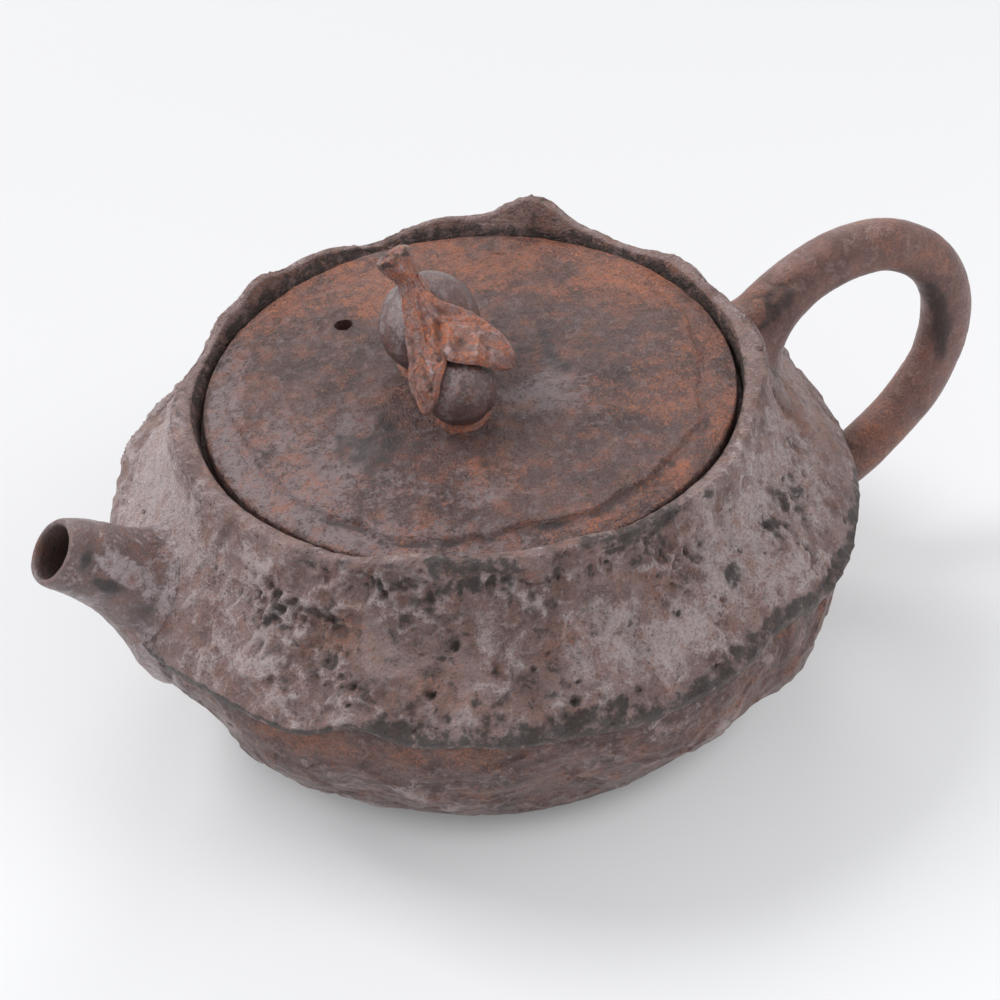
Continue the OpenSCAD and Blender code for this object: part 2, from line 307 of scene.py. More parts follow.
def solid(name, points, faces):
    """A mesh object from points in mm, its faces turned outwards."""
    mesh = bpy.data.meshes.new(name)
    mesh.from_pydata((points * MM).tolist(), [], faces)
    mesh.validate()
    bm = bmesh.new()
    bm.from_mesh(mesh)
    bmesh.ops.recalc_face_normals(bm, faces=bm.faces)
    bm.to_mesh(mesh)
    bm.free()
    return add_object(name, mesh)


def round_angles(count):
    """So many angles in degrees, once round."""
    return np.arange(count) * 360 / count


def unrolled(g):
    """Points, normals and column numbers of a turned grid, in one row."""
    nu, nv = g.shape[:2]
    return g.reshape(-1, 3), grid_normals(g, True, False), np.tile(np.arange(nv), nu)


def skin(name, points, faces, marks, material, body, replaced):
    """A finished piece; marks are the painted masks its material reads, a value a point."""
    o = solid(name, points, faces)
    for key, values in marks.items():
        full = np.zeros(len(points), np.float32)
        full[:len(values)] = np.clip(values, 0, 1)
        o.data.attributes.new(key, "FLOAT", "POINT").data.foreach_set("value", full)
    o.data.shade_smooth()
    o.data.materials.append(material)
    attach(o, body)
    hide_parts(*replaced)
    return o


# ---- clay material --------------------------------------------------------

def srgb(r, g, b):
    """Linear colour from the usual 0 to 255 values, each above 10."""
    return [((c / 255 + 0.055) / 1.055) ** 2.4 for c in (r, g, b)] + [1]


MIX_A, MIX_B, MIX_OUT = 6, 7, 2     # the colour sockets of a Mix node


class Nodes:
    """Short calls for building one material's nodes."""

    def __init__(self, name):
        self.mat = bpy.data.materials.new(name)
        self.mat.use_nodes = True
        self.tree = self.mat.node_tree
        self.bsdf = self.tree.nodes["Principled BSDF"]
        self.place = self.tree.nodes.new("ShaderNodeTexCoord").outputs["Object"]

    def put(self, socket, value):
        if hasattr(value, "links"):
            self.tree.links.new(value, socket)
        else:
            socket.default_value = value

    def node(self, kind, inputs, **settings):
        """The outputs of a new node, its settings made and its inputs set or linked."""
        n = self.tree.nodes.new("ShaderNode" + kind)
        for key, value in settings.items():
            setattr(n, key, value)
        for key, value in inputs.items():
            self.put(n.inputs[key], value)
        return n.outputs

    def attr(self, key):
        return self.node("Attribute", {}, attribute_name=key)["Fac"]

    def stretched(self, scale, turn):
        return self.node("Mapping", {"Vector": self.place, "Scale": scale, "Rotation": turn})["Vector"]

    def noise(self, cell, detail=3, rough=0.55, contrast=3, where=None, distort=0):
        """Noise from 0 to 1 with cells of so many mm, its contrast raised about the middle."""
        out = self.node("TexNoise", {"Vector": where or self.place, "Scale": 1 / (cell * MM),
                                     "Detail": detail, "Roughness": rough, "Distortion": distort})
        return self.ramp(out["Fac"], 0.5 - 0.5 / contrast, 0.5 + 0.5 / contrast, kind="LINEAR")

    def grains(self, cell, share, size):
        """Small round grains: a share of the cells holds one of the given size (in cells)."""
        out = self.node("TexVoronoi", {"Vector": self.place, "Scale": 1 / (cell * MM)})
        held = self.ramp(out["Color"], 1 - share, 1.01 - share)
        return self.math("MULTIPLY", held, self.ramp(out["Distance"], size, 0.6 * size))

    def math(self, op, a, b=0):
        return self.node("Math", {0: a, 1: b}, operation=op)["Value"]

    def add(self, first, *others):
        """first plus each (value, weight), each value centred on a half."""
        for value, weight in others:
            centred = self.math("SUBTRACT", value, 0.5)
            first = self.math("ADD", first, self.math("MULTIPLY", centred, weight))
        return first

    def ramp(self, value, lo, hi, out_lo=0, out_hi=1, kind="SMOOTHSTEP"):
        if lo > hi:
            lo, hi, out_lo, out_hi = hi, lo, out_hi, out_lo
        return self.node("MapRange", {"Value": value, "From Min": lo, "From Max": hi, "To Min": out_lo,
                                      "To Max": out_hi}, interpolation_type=kind)["Result"]

    def blend(self, fac, a, b, mode="MIX"):
        inputs = {"Factor": fac, MIX_A: a, MIX_B: b}
        return self.node("Mix", inputs, data_type="RGBA", blend_type=mode)[MIX_OUT]

    def lay(self, under, over, value, lo, hi, most):
        """Colour over on colour under, from none where value is lo to so much of it where it is hi."""
        return self.blend(self.ramp(value, lo, hi, 0, most), under, over)


def clay(name, colours, rough, relief, grain=1, streaks=0, gritty=1, spotty=0):
    """Unglazed fired clay. The first two colours make the body; the painted marks lay on it a pale bloom,
    which on some pieces also stands for painted highlights, warm iron stain with brighter flecks, and soot,
    which on some pieces also stands for painted shade, each frayed by fine noise. rough is (low, high),
    relief is in mm, and spotty, 0 to 1, breaks the soot from a haze into spots."""
    brown, deep, pale, warm, fleck, soot = [srgb(*colour) for colour in colours]
    m = Nodes(name)
    cloud = m.noise(7, 4, 0.6, 2.6)
    mottle = m.noise(1.5, 4, 0.65, 3.2, distort=0.3)
    fine = m.noise(0.42, 3, 0.7, 3)
    dust = m.noise(0.5, 3, 0.75, 3.2)
    warmth = m.noise(3.2, 4, 0.6, 3.2)
    blots = m.noise(2.1, 2, 0.6, 2.6, distort=0.25)
    pale_mark, rust_mark, dark_mark = m.attr("pale"), m.attr("rust"), m.attr("dark")

    col = m.blend(m.add(cloud, (mottle, 0.5)), brown, deep)
    col = m.lay(col, pale, mottle, 0.45, 1, 0.35)
    if streaks:
        lines = m.noise(1.6, 4, 0.6, 3.2, m.stretched((0.3, 0.3, 1.5), (0.55, 0.4, 0.3)), 0.5)
        col = m.lay(col, pale, lines, 0.5, 0.95, streaks)
        col = m.lay(col, deep, lines, 0.4, 0.05, streaks)
    col = m.lay(col, pale, m.add(pale_mark, (mottle, 0.85), (fine, 0.5)), 0.1, 1.15, 0.85)
    col = m.lay(col, warm, m.add(rust_mark, (cloud, 0.35), (mottle, 0.5), (dust, 0.5)), 0.1, 1.1, 0.7)
    col = m.lay(col, warm, m.add(warmth, (dust, 0.5)), 0.45, 1, 0.4)
    flecks = m.ramp(m.add(m.math("MULTIPLY", rust_mark, 0.6), (dust, 1), (warmth, 0.3)), 0.34, 0.86, 0, 0.7)
    col = m.blend(m.math("MULTIPLY", flecks, m.ramp(fine, 0.15, 0.6, 0.35, 1)), col, fleck)
    frayed = m.add(dark_mark, (blots, mix(0.28, 0.95, spotty)), (mottle, mix(0.4, 0.55, spotty)),
                   (fine, mix(0.4, 0.65, spotty)))
    col = m.lay(col, soot, frayed, mix(0.15, 0.36, spotty), mix(1.15, 1.05, spotty), 0.85)
    pepper, bright = m.grains(0.9, 0.25, 0.28), m.grains(1.15, 0.16, 0.2)
    col = m.blend(m.math("MULTIPLY", pepper, 0.5 * gritty), col, soot)
    col = m.blend(m.math("MULTIPLY", bright, 0.6 * gritty), col, srgb(190, 138, 104))
    col = m.blend(m.ramp(fine, 0.65, 0.05, 0, 0.42 * grain), col, (0.45, 0.4, 0.4, 1), "MULTIPLY")
    m.put(m.bsdf.inputs["Base Color"], col)

    gloss = m.add(mottle, (fine, 0.4), (dark_mark, 0.5))
    m.put(m.bsdf.inputs["Roughness"], m.ramp(gloss, 0, 1, rough[0], rough[1], "LINEAR"))
    m.bsdf.inputs["Specular IOR Level"].default_value = 0.45

    height = m.add(fine, (mottle, 1.2), (dust, 0.6), (bright, 0.5))
    bump = m.node("Bump", {"Height": height, "Distance": relief * MM})
    m.put(m.bsdf.inputs["Normal"], bump["Normal"])
    return m.mat


FLECK = (176, 116, 88)
ROUGH_CLAY = clay("rough_clay", [(174, 149, 146), (114, 91, 87), (212, 195, 195), (164, 120, 106),
                                 (184, 124, 94), (62, 60, 57)], (0.28, 0.52), 0.2, spotty=0.8)
BOWL_CLAY = clay("bowl_clay", [(118, 94, 91), (74, 56, 54), (186, 168, 168), (136, 96, 84), FLECK,
                               (58, 51, 50)], (0.3, 0.55), 0.14, 0.9, streaks=0.2, spotty=0.4)
LID_CLAY = clay("lid_clay", [(114, 87, 82), (66, 52, 51), (148, 132, 134), (160, 104, 84), (190, 114, 76),
                             (56, 51, 53)], (0.26, 0.46), 0.12)
SPOUT_CLAY = clay("spout_clay", [(130, 110, 108), (98, 81, 79), (190, 176, 179), (146, 102, 88), FLECK,
                                 (56, 54, 55)], (0.3, 0.5), 0.06, 0.8, gritty=0.4)
HANDLE_CLAY = clay("handle_clay", [(134, 100, 94), (92, 66, 61), (166, 140, 136), (148, 100, 84), FLECK,
                                   (56, 50, 48)], (0.3, 0.5), 0.06, 0.8, gritty=0.4)
FRUIT_CLAY = clay("fruit_clay", [(116, 93, 90), (80, 62, 61), (164, 148, 150), (132, 86, 70), FLECK,
                                 (54, 48, 48)], (0.22, 0.36), 0.04, 0.7, gritty=0.3)
LEAF_CLAY = clay("leaf_clay", [(154, 118, 111), (106, 76, 71), (196, 176, 178), (162, 102, 80),
                               (208, 116, 70), (48, 42, 40)], (0.22, 0.4), 0.09, gritty=0.5, spotty=0.3)


# ---- pot skins ------------------------------------------------------------

AROUND = 780            # columns round the pot
LIP_ROWS, SHOULDER_ROWS, COLLAR_ROWS, INNER_ROWS = 6, 56, 44, 20


def upper_grid(a):
    """Rows of the shoulder and collar: under the edge, up the shoulder, over the crest and down inside."""
    rz, rr, cz, cr = ridge_z(a), ridge_r(a), crest_z(a), crest_r(a)
    rows = []
    lip = 1.9 + 0.4 * sind(4 * a + 30) + 0.25 * sind(11 * a)
    for k in np.arange(LIP_ROWS) / LIP_ROWS:
        rows.append(ring(mix(rr - 3.4, rr + 0.3, sind(90 * k)), rz - lip * (0.15 + 0.75 * sind(180 * k)), a))
    for u in np.linspace(0, 1, SHOULDER_ROWS):
        r = bez([rr, rr - 0.8, 48.3, NECK_R], u) + dent(a, u) + 0.5 * hill(u, 0, 0.07)
        rows.append(ring(r, bez([rz, rz + 4.6, 41.5, NECK_Z], u), a))
    inset = mix(cr - 1.9, MOUTH_R + 0.1, 0.95 * (1 - lobe(a, 90, 62)))
    one = 1 + 0 * a
    knots = np.array([(NECK_R * one, NECK_Z * one), (mix(NECK_R, cr, 0.6), mix(NECK_Z, cz, 0.35)),
                      (cr + 0.1, mix(NECK_Z, cz, 0.75)), (cr, cz - 0.9), (cr - 0.4, cz - 0.2),
                      (cr - 0.9, cz), (inset + 0.4, cz - 0.35), (inset, cz - 1.2),
                      (mix(MOUTH_R, inset, 0.5), mix(NECK_Z, cz, 0.62)),
                      (MOUTH_R * one, (NECK_Z + 1.8) * one), (MOUTH_R * one, NECK_Z * one)])
    for t in np.linspace(0, 1, COLLAR_ROWS + 1)[1:]:
        q = through(knots, t)
        rows.append(ring(q[0], q[1], a))
    inner = rr - WALL
    for u in np.linspace(1, 0, INNER_ROWS)[1:]:
        rows.append(ring(bez([inner, inner - 1.6, 44.2, MOUTH_R], u), bez([rz, rz + 4, 40.5, NECK_Z], u), a))
    return np.stack(rows, 1)


# Marks on the shoulder, in rows as spots() and creases() take them.
PIT_ZONES = [(226, 39.5, 5, 2.6, 0.9), (239, 35.5, 7, 2.2, 0.9), (252, 36, 6, 2.5, 0.7),
             (213, 43, 7, 3.5, 0.9), (221, 45.5, 6, 2, 0.8), (243, 45, 9, 1.8, 0.35), (262, 44, 6, 2.5, 0.3),
             (266, 33, 9, 1.8, 0.7), (292, 46, 9, 2.5, 0.8), (298, 40, 3, 2, 0.8), (315, 41, 7, 2.5, 0.9),
             (332, 42, 9, 4, 0.7), (290, 33, 9, 1.6, 0.6), (233, 50.5, 12, 2.2, 0.8),
             (260, 50.8, 15, 2.2, 0.9), (284, 50, 9, 2, 0.8), (45, 40, 20, 6, 0.6), (75, 38, 30, 5, 0.7),
             (118, 40, 18, 5, 0.6)]
FOLDS = [(276, 41, 5, 0.25, 0.9, 0.9), (269, 38, 4, -0.9, 1, 0.4), (193, 43, 6, 0.5, 0.8, 0.55),
         (197, 42, 6, 0.55, 0.7, 0.45), (202, 41, 7, 0.7, 0.9, 0.5), (232, 36, 4, -1.2, 1.2, 0.4),
         (244, 42, 3, 0.8, 0.7, 0.4), (303, 44, 4, -0.8, 1.2, 0.5), (316, 46, 4, -0.6, 1.1, 0.5),
         (340, 43, 8, 0.5, 1.2, 0.5), (12, 40, 8, -0.4, 1.3, 0.6), (45, 41, 7, 0.5, 1.3, 0.5),
         (82, 40, 8, -0.5, 1.2, 0.6), (112, 39, 8, 0.4, 1.2, 0.5), (148, 42, 7, -0.5, 1.2, 0.5)]
SWELLS = [(262, 38.5, 5, 3, -1), (284, 38.5, 10, 4, 0.7), (266, 41, 5, 4, 0.5), (236, 41, 8, 3, -0.5),
          (213, 38, 7, 4, 0.4), (250, 33, 7, 2, 0.4), (296, 47, 7, 2.5, 0.6), (286, 44, 6, 1.6, -0.5),
          (222, 43, 5, 3, -0.4), (205, 48, 6, 2.5, 0.4), (312, 37, 8, 3, 0.4), (60, 38, 10, 4, 0.6),
          (95, 41, 9, 4, -0.7), (150, 37, 9, 4, 0.5), (141, 49, 9, 5, -1.25)]
CALM = [(160, 42, 16, 9, 0.8), (180, 42, 16, 9, 0.8), (186, 34, 12, 6, 0.6), (284, 38, 9, 3.5, 0.7),
        (338, 47, 14, 5, 0.6), (238, 42, 6, 2.5, 0.35), (0, 42, 26, 10, 0.9), (338, 34, 12, 5, 0.7)]
SOOT = [(248, 51, 21, 2.6, 0.6), (290, 49, 12, 3, 0.5), (256, 32.5, 14, 1.6, 0.4), (292, 31.5, 14, 1.8, 0.5),
        (222, 45.3, 4, 1.8, 0.7), (214, 44, 4, 2.4, 0.5), (208, 41.5, 3, 1.6, 0.5), (243, 44.6, 7, 1.3, 0.3),
        (231, 45.5, 4, 1.2, 0.4), (259, 38.5, 5, 2.6, 0.45), (270, 33.6, 7, 1.4, 0.8),
        (298, 40.5, 2.6, 1.7, 0.9), (312, 41.2, 2.4, 1.8, 0.9), (318, 41.5, 2.4, 1.6, 0.8),
        (331, 42.5, 9, 3.2, 0.35), (322, 37.5, 9, 2.4, 0.7), (352, 45, 6, 3.5, 0.6),
        (226, 39.5, 4, 2.2, 0.35), (239, 35.6, 5, 1.8, 0.4), (172, 36, 5, 3, 0.25), (100, 44, 30, 4, 0.4),
        (40, 36, 25, 4, 0.4), (132, 35, 18, 3, 0.4)]
# BLOOM_AND_LIGHT holds pale bloom; its rows on the left shoulder (162 to 178 degrees) and on the right (315
# and 322 degrees) are painted light.
BLOOM_AND_LIGHT = [(162, 44, 16, 10, 1.1), (322, 43, 16, 7, 0.4), (176, 42, 20, 9, 0.7), (315, 45, 18, 6, 0.6),
         (302, 41, 9, 5, 0.9), (328, 39, 12, 6, 0.8), (277, 40, 11, 5, 0.5), (206, 41, 8, 5, 0.4),
         (205, 48, 5, 2.6, 0.9), (212, 38, 8, 4, 0.5), (285, 38.3, 11, 3.8, 0.85), (265, 40.5, 5, 4, 0.55),
         (297, 46.3, 8, 2.2, 0.75), (230, 33.8, 10, 1.6, 0.35), (252, 32.6, 8, 1.4, 0.4),
         (178, 42, 15, 8, 0.6), (226, 48.4, 7, 1.1, 0.4), (257, 46.8, 7, 1.2, 0.55),
         (306, 36.5, 8, 2.2, 0.35), (234, 39, 6, 2, 0.2), (28, 40, 16, 6, 0.25), (120, 40, 30, 6, 0.25),
         (70, 40, 20, 6, 0.2)]
STAIN = [(354, 43, 18, 8, 0.5), (226, 43, 5, 3, 0.75), (239, 41, 8, 3, 0.45), (264, 42, 6, 4, 0.4),
         (284, 44, 7, 2.2, 0.45), (300, 36, 12, 4, 0.3), (340, 38, 20, 8, 0.3), (256, 36, 8, 3, 0.3),
         (60, 40, 40, 7, 0.35), (140, 40, 30, 7, 0.25)]
# SHADE is painted shade on the wall, and SHADE_NO_BLOOM takes the pale bloom away in the same painted shade.
SHADE = [(240, 41, 10, 4.5, 1.3), (254, 44, 15, 4, 0.5), (262, 39, 6, 4, 1), (252, 35, 8, 3, 0.7),
         (226, 42, 5, 4, 0.6), (345, 46, 14, 5, 0.8), (70, 42, 60, 7, 0.5)]
SHADE_NO_BLOOM = [(240, 41, 9, 3.6, 1), (260, 38, 4, 3, 1), (345, 44, 12, 6, 0.6), (70, 42, 50, 6, 0.5)]
EDGE_SOOT = [(238, 8, 0.75), (258, 14, 0.5), (299, 20, 1.2), (326, 15, 0.9), (60, 60, 0.6), (208, 10, 0.25)]
RIM_SOOT = [(248, 11, 0.85), (284, 18, 1), (220, 5, 0.6), (90, 75, 0.3), (158, 12, 0.6)]


def upper_skin():
    """Shoulder and collar in one hand-worked wall, rough as bark between calm pressed places."""
    g = upper_grid(round_angles(AROUND))
    p, n, v = unrolled(g)
    ang, _, z = polar(p)
    crest_v = LIP_ROWS + SHOULDER_ROWS + COLLAR_ROWS * 0.5
    outside = smooth(v, 3, 8) * smooth(v, crest_v + 6, crest_v - 1)
    over_edge = z - ridge_z(ang)
    below_crest = crest_z(ang) - z
    rim = smooth(below_crest, 3.2, 0.6) * smooth(v, crest_v + 9, crest_v + 4)
    front = lobe(ang, 255, 55)
    calm = np.clip(spots(ang, z, CALM), 0, 1)

    rough = np.clip(0.85 + 0.8 * fbm(p, 15, 2, 12), 0.35, 1.25) * (1 - 0.8 * calm)
    rough *= 1 - 0.85 * rim * (1 - front)
    bent = warp(p, 8, 2.4, 13)
    lumps = fbm(bent, 7, 3, 21)
    bark = veins(warp(p * (1, 1, 0.7), 6, 1.6, 41), 5.2, 44)
    threads = veins(warp(p, 3, 0.9, 51), 2.4, 54)
    grit = fbm(p, 1.5, 2, 31)
    pitted = spots(ang, z, PIT_ZONES)
    crust = np.clip(pitted + 0.2 + 0.9 * fbm(p, 9, 2, 151), 0.1, 1) * (1 - 0.8 * calm)
    crust *= 1 - 0.7 * hill(over_edge, 0, 2.5)
    fill = np.clip(pitted * (0.55 + 1.2 * fbm(p, 5, 2, 71)) + 0.05, 0, 0.85) * outside
    hole, hole_r = pits(p, 2.3, fill, 0.35, 1.05, 81)
    prick, _ = pits(p, 1.25, 0.95 * fill + 0.06, 0.22, 0.5, 91)
    grooves = creases(ang, z, FOLDS)

    h = 0.5 * fbm(p, 26, 2, 5) + 0.8 * spots(ang, z, SWELLS)
    h += rough * (1.3 * lumps + bark - 0.3) + crust * (0.72 * (threads - 0.3) + 0.42 * grit)
    h += 0.06 * grit - 0.8 * grooves - 1.1 * hole * hole_r - 0.36 * prick
    h += rim * (1 - front) * (0.35 * fbm(p, 6, 2, 141) - 0.35)
    h *= 1 - 0.5 * hill(over_edge, 0, 2.2)
    p = p + n * (h * outside)[:, None]

    # painted marks
    blotch = drift(p, 4, 1.5, 4.2, 101)
    flake = fbm(p, 1.6, 2, 111)
    soot = spots(ang, z, SOOT) + hill(over_edge, 0.8, 1.7) * lobes(ang, EDGE_SOOT)
    soot = np.clip(soot + smooth(below_crest, 2.4, 0.8) * lobes(ang, RIM_SOOT), 0, 1.3)
    # lip_shadow_line is a painted shadow line along the shoulder's overhanging edge.
    lip_shadow_line = hill(over_edge, 0, 0.8) * lobes(ang, [(240, 22, 0.75), (275, 22, 0.8), (320, 40, 0.9)])
    dark = smooth(soot + 0.5 * blotch + 0.3 * flake, 0.15, 1.2) * smooth(soot, 0.05, 0.35)
    # Pits, pricks and folds are darkened as painted shade in these hollows.
    dark = np.maximum(dark, 0.85 * hole) + 0.45 * prick + 0.45 * np.clip(grooves, 0, 1) + lip_shadow_line
    # SHADE adds painted shade; in the crust the hollows between the thread crests are darkened as painted
    # shade, with a little even darkening besides.
    dark += 0.22 * spots(ang, z, SHADE) + crust * (0.5 * smooth(threads, 0.35, 0.05) + 0.16)
    # The pale rises on high places and on the crests of the bark and the threads as painted highlights, and
    # with the painted light of BLOOM_AND_LIGHT; SHADE_NO_BLOOM lowers it in the painted shade.
    bloom = 0.25 + 0.7 * spots(ang, z, BLOOM_AND_LIGHT) + 0.3 * smooth(h, 0.1, 1.1) + 0.55 * rough * (bark - 0.3)
    bloom += 0.95 * crust * (threads - 0.3) - 0.45 * spots(ang, z, SHADE_NO_BLOOM)
    pale = smooth(bloom + 0.75 * drift(p, 6, 2, 6, 121) + 0.25 * flake, 0, 1.25)
    rust = smooth(0.2 + 0.65 * spots(ang, z, STAIN) + 0.6 * drift(p, 5, 1.5, 5, 131), 0.1, 1)
    inner = 1 - outside
    # The inside of the collar is darkened as painted shade, most deeply down by the lid.
    dark = dark * outside + inner * smooth(v, crest_v, crest_v + 5) * (0.3 + 0.6 * smooth(z, 53.6, 51.6))
    # The rows under the shoulder's edge are darkened as painted shade.
    dark += smooth(v, LIP_ROWS + 2, LIP_ROWS)
    rust = rust * outside + inner * (0.5 + 0.3 * blotch)
    marks = {"dark": dark, "pale": pale * outside, "rust": rust}
    faces = grid_faces(*g.shape[:2], True, False)
    return skin("shoulder_and_collar_skin", p, faces, marks, ROUGH_CLAY, "pot", ["shoulder_wall", "collar"])


BOWL_ROWS = 74
BOWL_IN_R = BOWL_R - 4.4


def bowl_skin():
    """Lower wall and floor: smoother and flaky, scratched, tucked in under the shoulder's edge."""
    a = round_angles(AROUND)
    rz, rr = ridge_z(a), ridge_r(a)
    rows = [ring((FOOT_R + 1.6) * k, FOOT_H, a) for k in np.linspace(0.02, 1, 10)]
    rows += [ring(FOOT_R + 2.7, FOOT_H + 0.5, a), ring(FOOT_R + 3.7, FOOT_H + 1.3, a)]
    first = len(rows)
    for u in np.linspace(0, 1, BOWL_ROWS):
        tuck = 2.6 * math.exp((u - 1) / 0.13)
        r = mix(BOWL_R, rr - 0.6, u) + BOWL_SWELL * sind(180 * u) + dent(a, u) - tuck
        rows.append(ring(r, mix(BOWL_Z, rz - 0.1, u), a))
    last = len(rows)
    rows.append(ring(rr - WALL, rz - 0.1, a))
    for u in np.linspace(1, 0, 16)[1:]:
        rows.append(ring(mix(BOWL_IN_R, rr - WALL, u) + BOWL_SWELL * sind(180 * u), mix(BOWL_Z, rz, u), a))
    rows += [ring(BOWL_IN_R * k, BOWL_Z, a) for k in np.linspace(1, 0.02, 8)[1:]]
    p, n, v = unrolled(np.stack(rows, 1))
    ang, _, z = polar(p)
    outside = smooth(v, first - 4, first + 5) * smooth(v, last - 1, last - 5)
    below = ridge_z(ang) - z

    slanted = p @ np.array([[1, 0, 0.5], [0, 1, 0.5], [-0.6, 0.2, 1]])
    layers = warp(p, 9, 3, 211)
    flakes = sum(smooth(noise(layers, size, seed), at, at + 0.07)
                 for size, seed, at in ((12, 214, 0.02), (9, 215, 0.22), (7, 216, -0.3)))
    scratch = veins(warp(slanted, 6, 1.2, 221) * (0.35, 0.35, 1), 2.6, 224, 4)
    hole, hole_r = pits(p, 3.2, 0.08 + 0.25 * smooth(z, 12, 5) + 0.25 * lobe(ang, 300, 25), 0.4, 1, 231)
    h = 0.85 * fbm(p, 20, 2, 241) + 0.62 * drift(p, 6, 2, 6, 251)
    h += 0.3 * (flakes - 1.5) - 0.07 * scratch + 0.12 * fbm(p, 1.8, 2, 261) - 0.4 * hole * hole_r
    h += spots(ang, z, [(306, 16, 13, 8, 1.3), (217, 16, 11, 8, 1), (301, 15, 2.6, 5, -0.9),
                        (222, 10, 4, 3, -0.63), (262, 12, 6, 3, -0.36)])
    p = p + n * (h * outside)[:, None]

    blotch = drift(p, 5, 1.8, 5, 271)
    # The first term is a painted shadow just under the shoulder's edge; the second makes the wall darker
    # towards the bottom.
    soot = 0.8 * hill(below, 0.4, 1.1) + 0.55 * smooth(z, 10, 4) + 0.5 * smooth(blotch, 0.1, 0.6)
    soot += 0.3 * scratch
    # Pits are darkened as painted shade in them.
    dark = smooth(soot + 0.35 * blotch, 0.25, 1.15) + 0.6 * hole
    bloom = 0.2 + lobes(ang, [(212, 25, 0.3), (335, 22, 0.3)]) + 0.18 * (flakes - 1.5)
    bloom += 0.5 * fbm(p, 14, 2, 281) - spots(ang, z, [(222, 27, 16, 4, 0.5), (258, 26, 10, 3, 0.25)])
    pale = smooth(bloom + 0.85 * blotch, 0.15, 1)
    stain = 0.18 + spots(ang, z, [(222, 27.5, 16, 4, 0.8), (247, 28, 10, 4, 0.4), (300, 22, 30, 9, 0.35),
                                  (262, 16, 20, 6, 0.25)])
    rust = smooth(stain + 0.6 * drift(p, 5, 1.5, 5, 291), 0.1, 1)
    marks = {"dark": dark * outside, "pale": pale * outside, "rust": rust * outside}
    p = np.vstack([p, [[0, 0, FOOT_H], [0, 0, BOWL_Z]]])
    return skin("bowl_skin", p, turned_faces(AROUND, len(rows)), marks, BOWL_CLAY, "pot",
                ["bowl_wall", "floor_slab"])


def foot_skin():
    """Foot ring, a little uneven, flat where it stands."""
    a = round_angles(360)
    outline = [(FOOT_IN_R, 0), (36.6, 0), (37.8, 0), (FOOT_R - 0.8, 0), (FOOT_R - 0.2, 0.3), (FOOT_R, 0.9),
               (FOOT_R, 1.6), (FOOT_R, 2.3), (FOOT_R, FOOT_H), (38, FOOT_H), (36.4, FOOT_H),
               (FOOT_IN_R, FOOT_H), (FOOT_IN_R, 2), (FOOT_IN_R, 1)]
    p = np.stack([ring(r, z, a) for r, z in outline], 1).reshape(-1, 3)
    ang, _, z = polar(p)
    wobble = 0.25 * fbm(p, 9, 2, 301) * smooth(z, 0.05, 0.8) * smooth(z, 3, 2.6)
    p = p + ring(wobble, 0, ang)
    marks = {"dark": 0.45 + 0.5 * fbm(p, 6, 3, 302), "pale": 0 * z + 0.1,
             "rust": 0.3 * smooth(fbm(p, 5, 3, 303), 0, 0.5)}
    return skin("foot_skin", p, grid_faces(len(a), len(outline), True, True), marks, BOWL_CLAY, "pot",
                ["foot_ring"])


# ---- spout and handle -----------------------------------------------------

def along(line):
    """Unit directions of a centre line."""
    return unit(np.gradient(line, axis=0))


def tube(c, side, top, radius, count):
    """Rings of points about the centres c, with axes side and top; radius is a number or a row for each."""
    t = np.radians(round_angles(count))
    r = np.broadcast_to(np.asarray(radius, float).reshape(len(c), -1), (len(c), count))
    return (c[:, None] + (side[:, None] * np.cos(t)[None, :, None] + top[:, None] * np.sin(t)[None, :, None])
            * r[..., None])


def flared(g, c, reach, spread):
    """The tube g about c, spread out near the pot wall like clay smoothed on, and ending in that wall."""
    gap = np.hypot(g[..., 0], g[..., 1]) - wall_radius(g[..., 2])
    g = g + unit(g - c[:, None]) * (spread * np.exp(-np.clip(gap, 0, 9) / reach))[..., None]
    inside = wall_radius(g[..., 2]) - 0.55 * WALL
    g[..., :2] *= np.maximum(1, inside / np.hypot(g[..., 0], g[..., 1]))[..., None]
    return g


# Rows for flanks(), from the mouth to the wall. A turn of 90 is the belly, 180 the flank on the -y side.
# SPOUT_SOOT_AND_SHADE is soot, but its row at 0.78 is a painted shade along the root where the spout meets
# the wall.
SPOUT_SOOT_AND_SHADE = [(0.12, 0.06, 212, 22, 1), (0.32, 0.13, 184, 12, 1.1), (0.7, 0.12, 177, 20, 1.1),
              (0.42, 0.3, 148, 28, 0.5), (0.78, 0.1, 236, 30, 0.5), (0.4, 0.3, 20, 50, 0.4)]
# SPOUT_BLOOM_AND_SHEEN: its first row, the pale patch high on the flank towards the front, is a painted
# sheen; the others are pale bloom.
SPOUT_BLOOM_AND_SHEEN = [(0.36, 0.19, 209, 18, 1.15), (0.62, 0.14, 200, 22, 0.5), (0.3, 0.25, 135, 40, 0.5)]


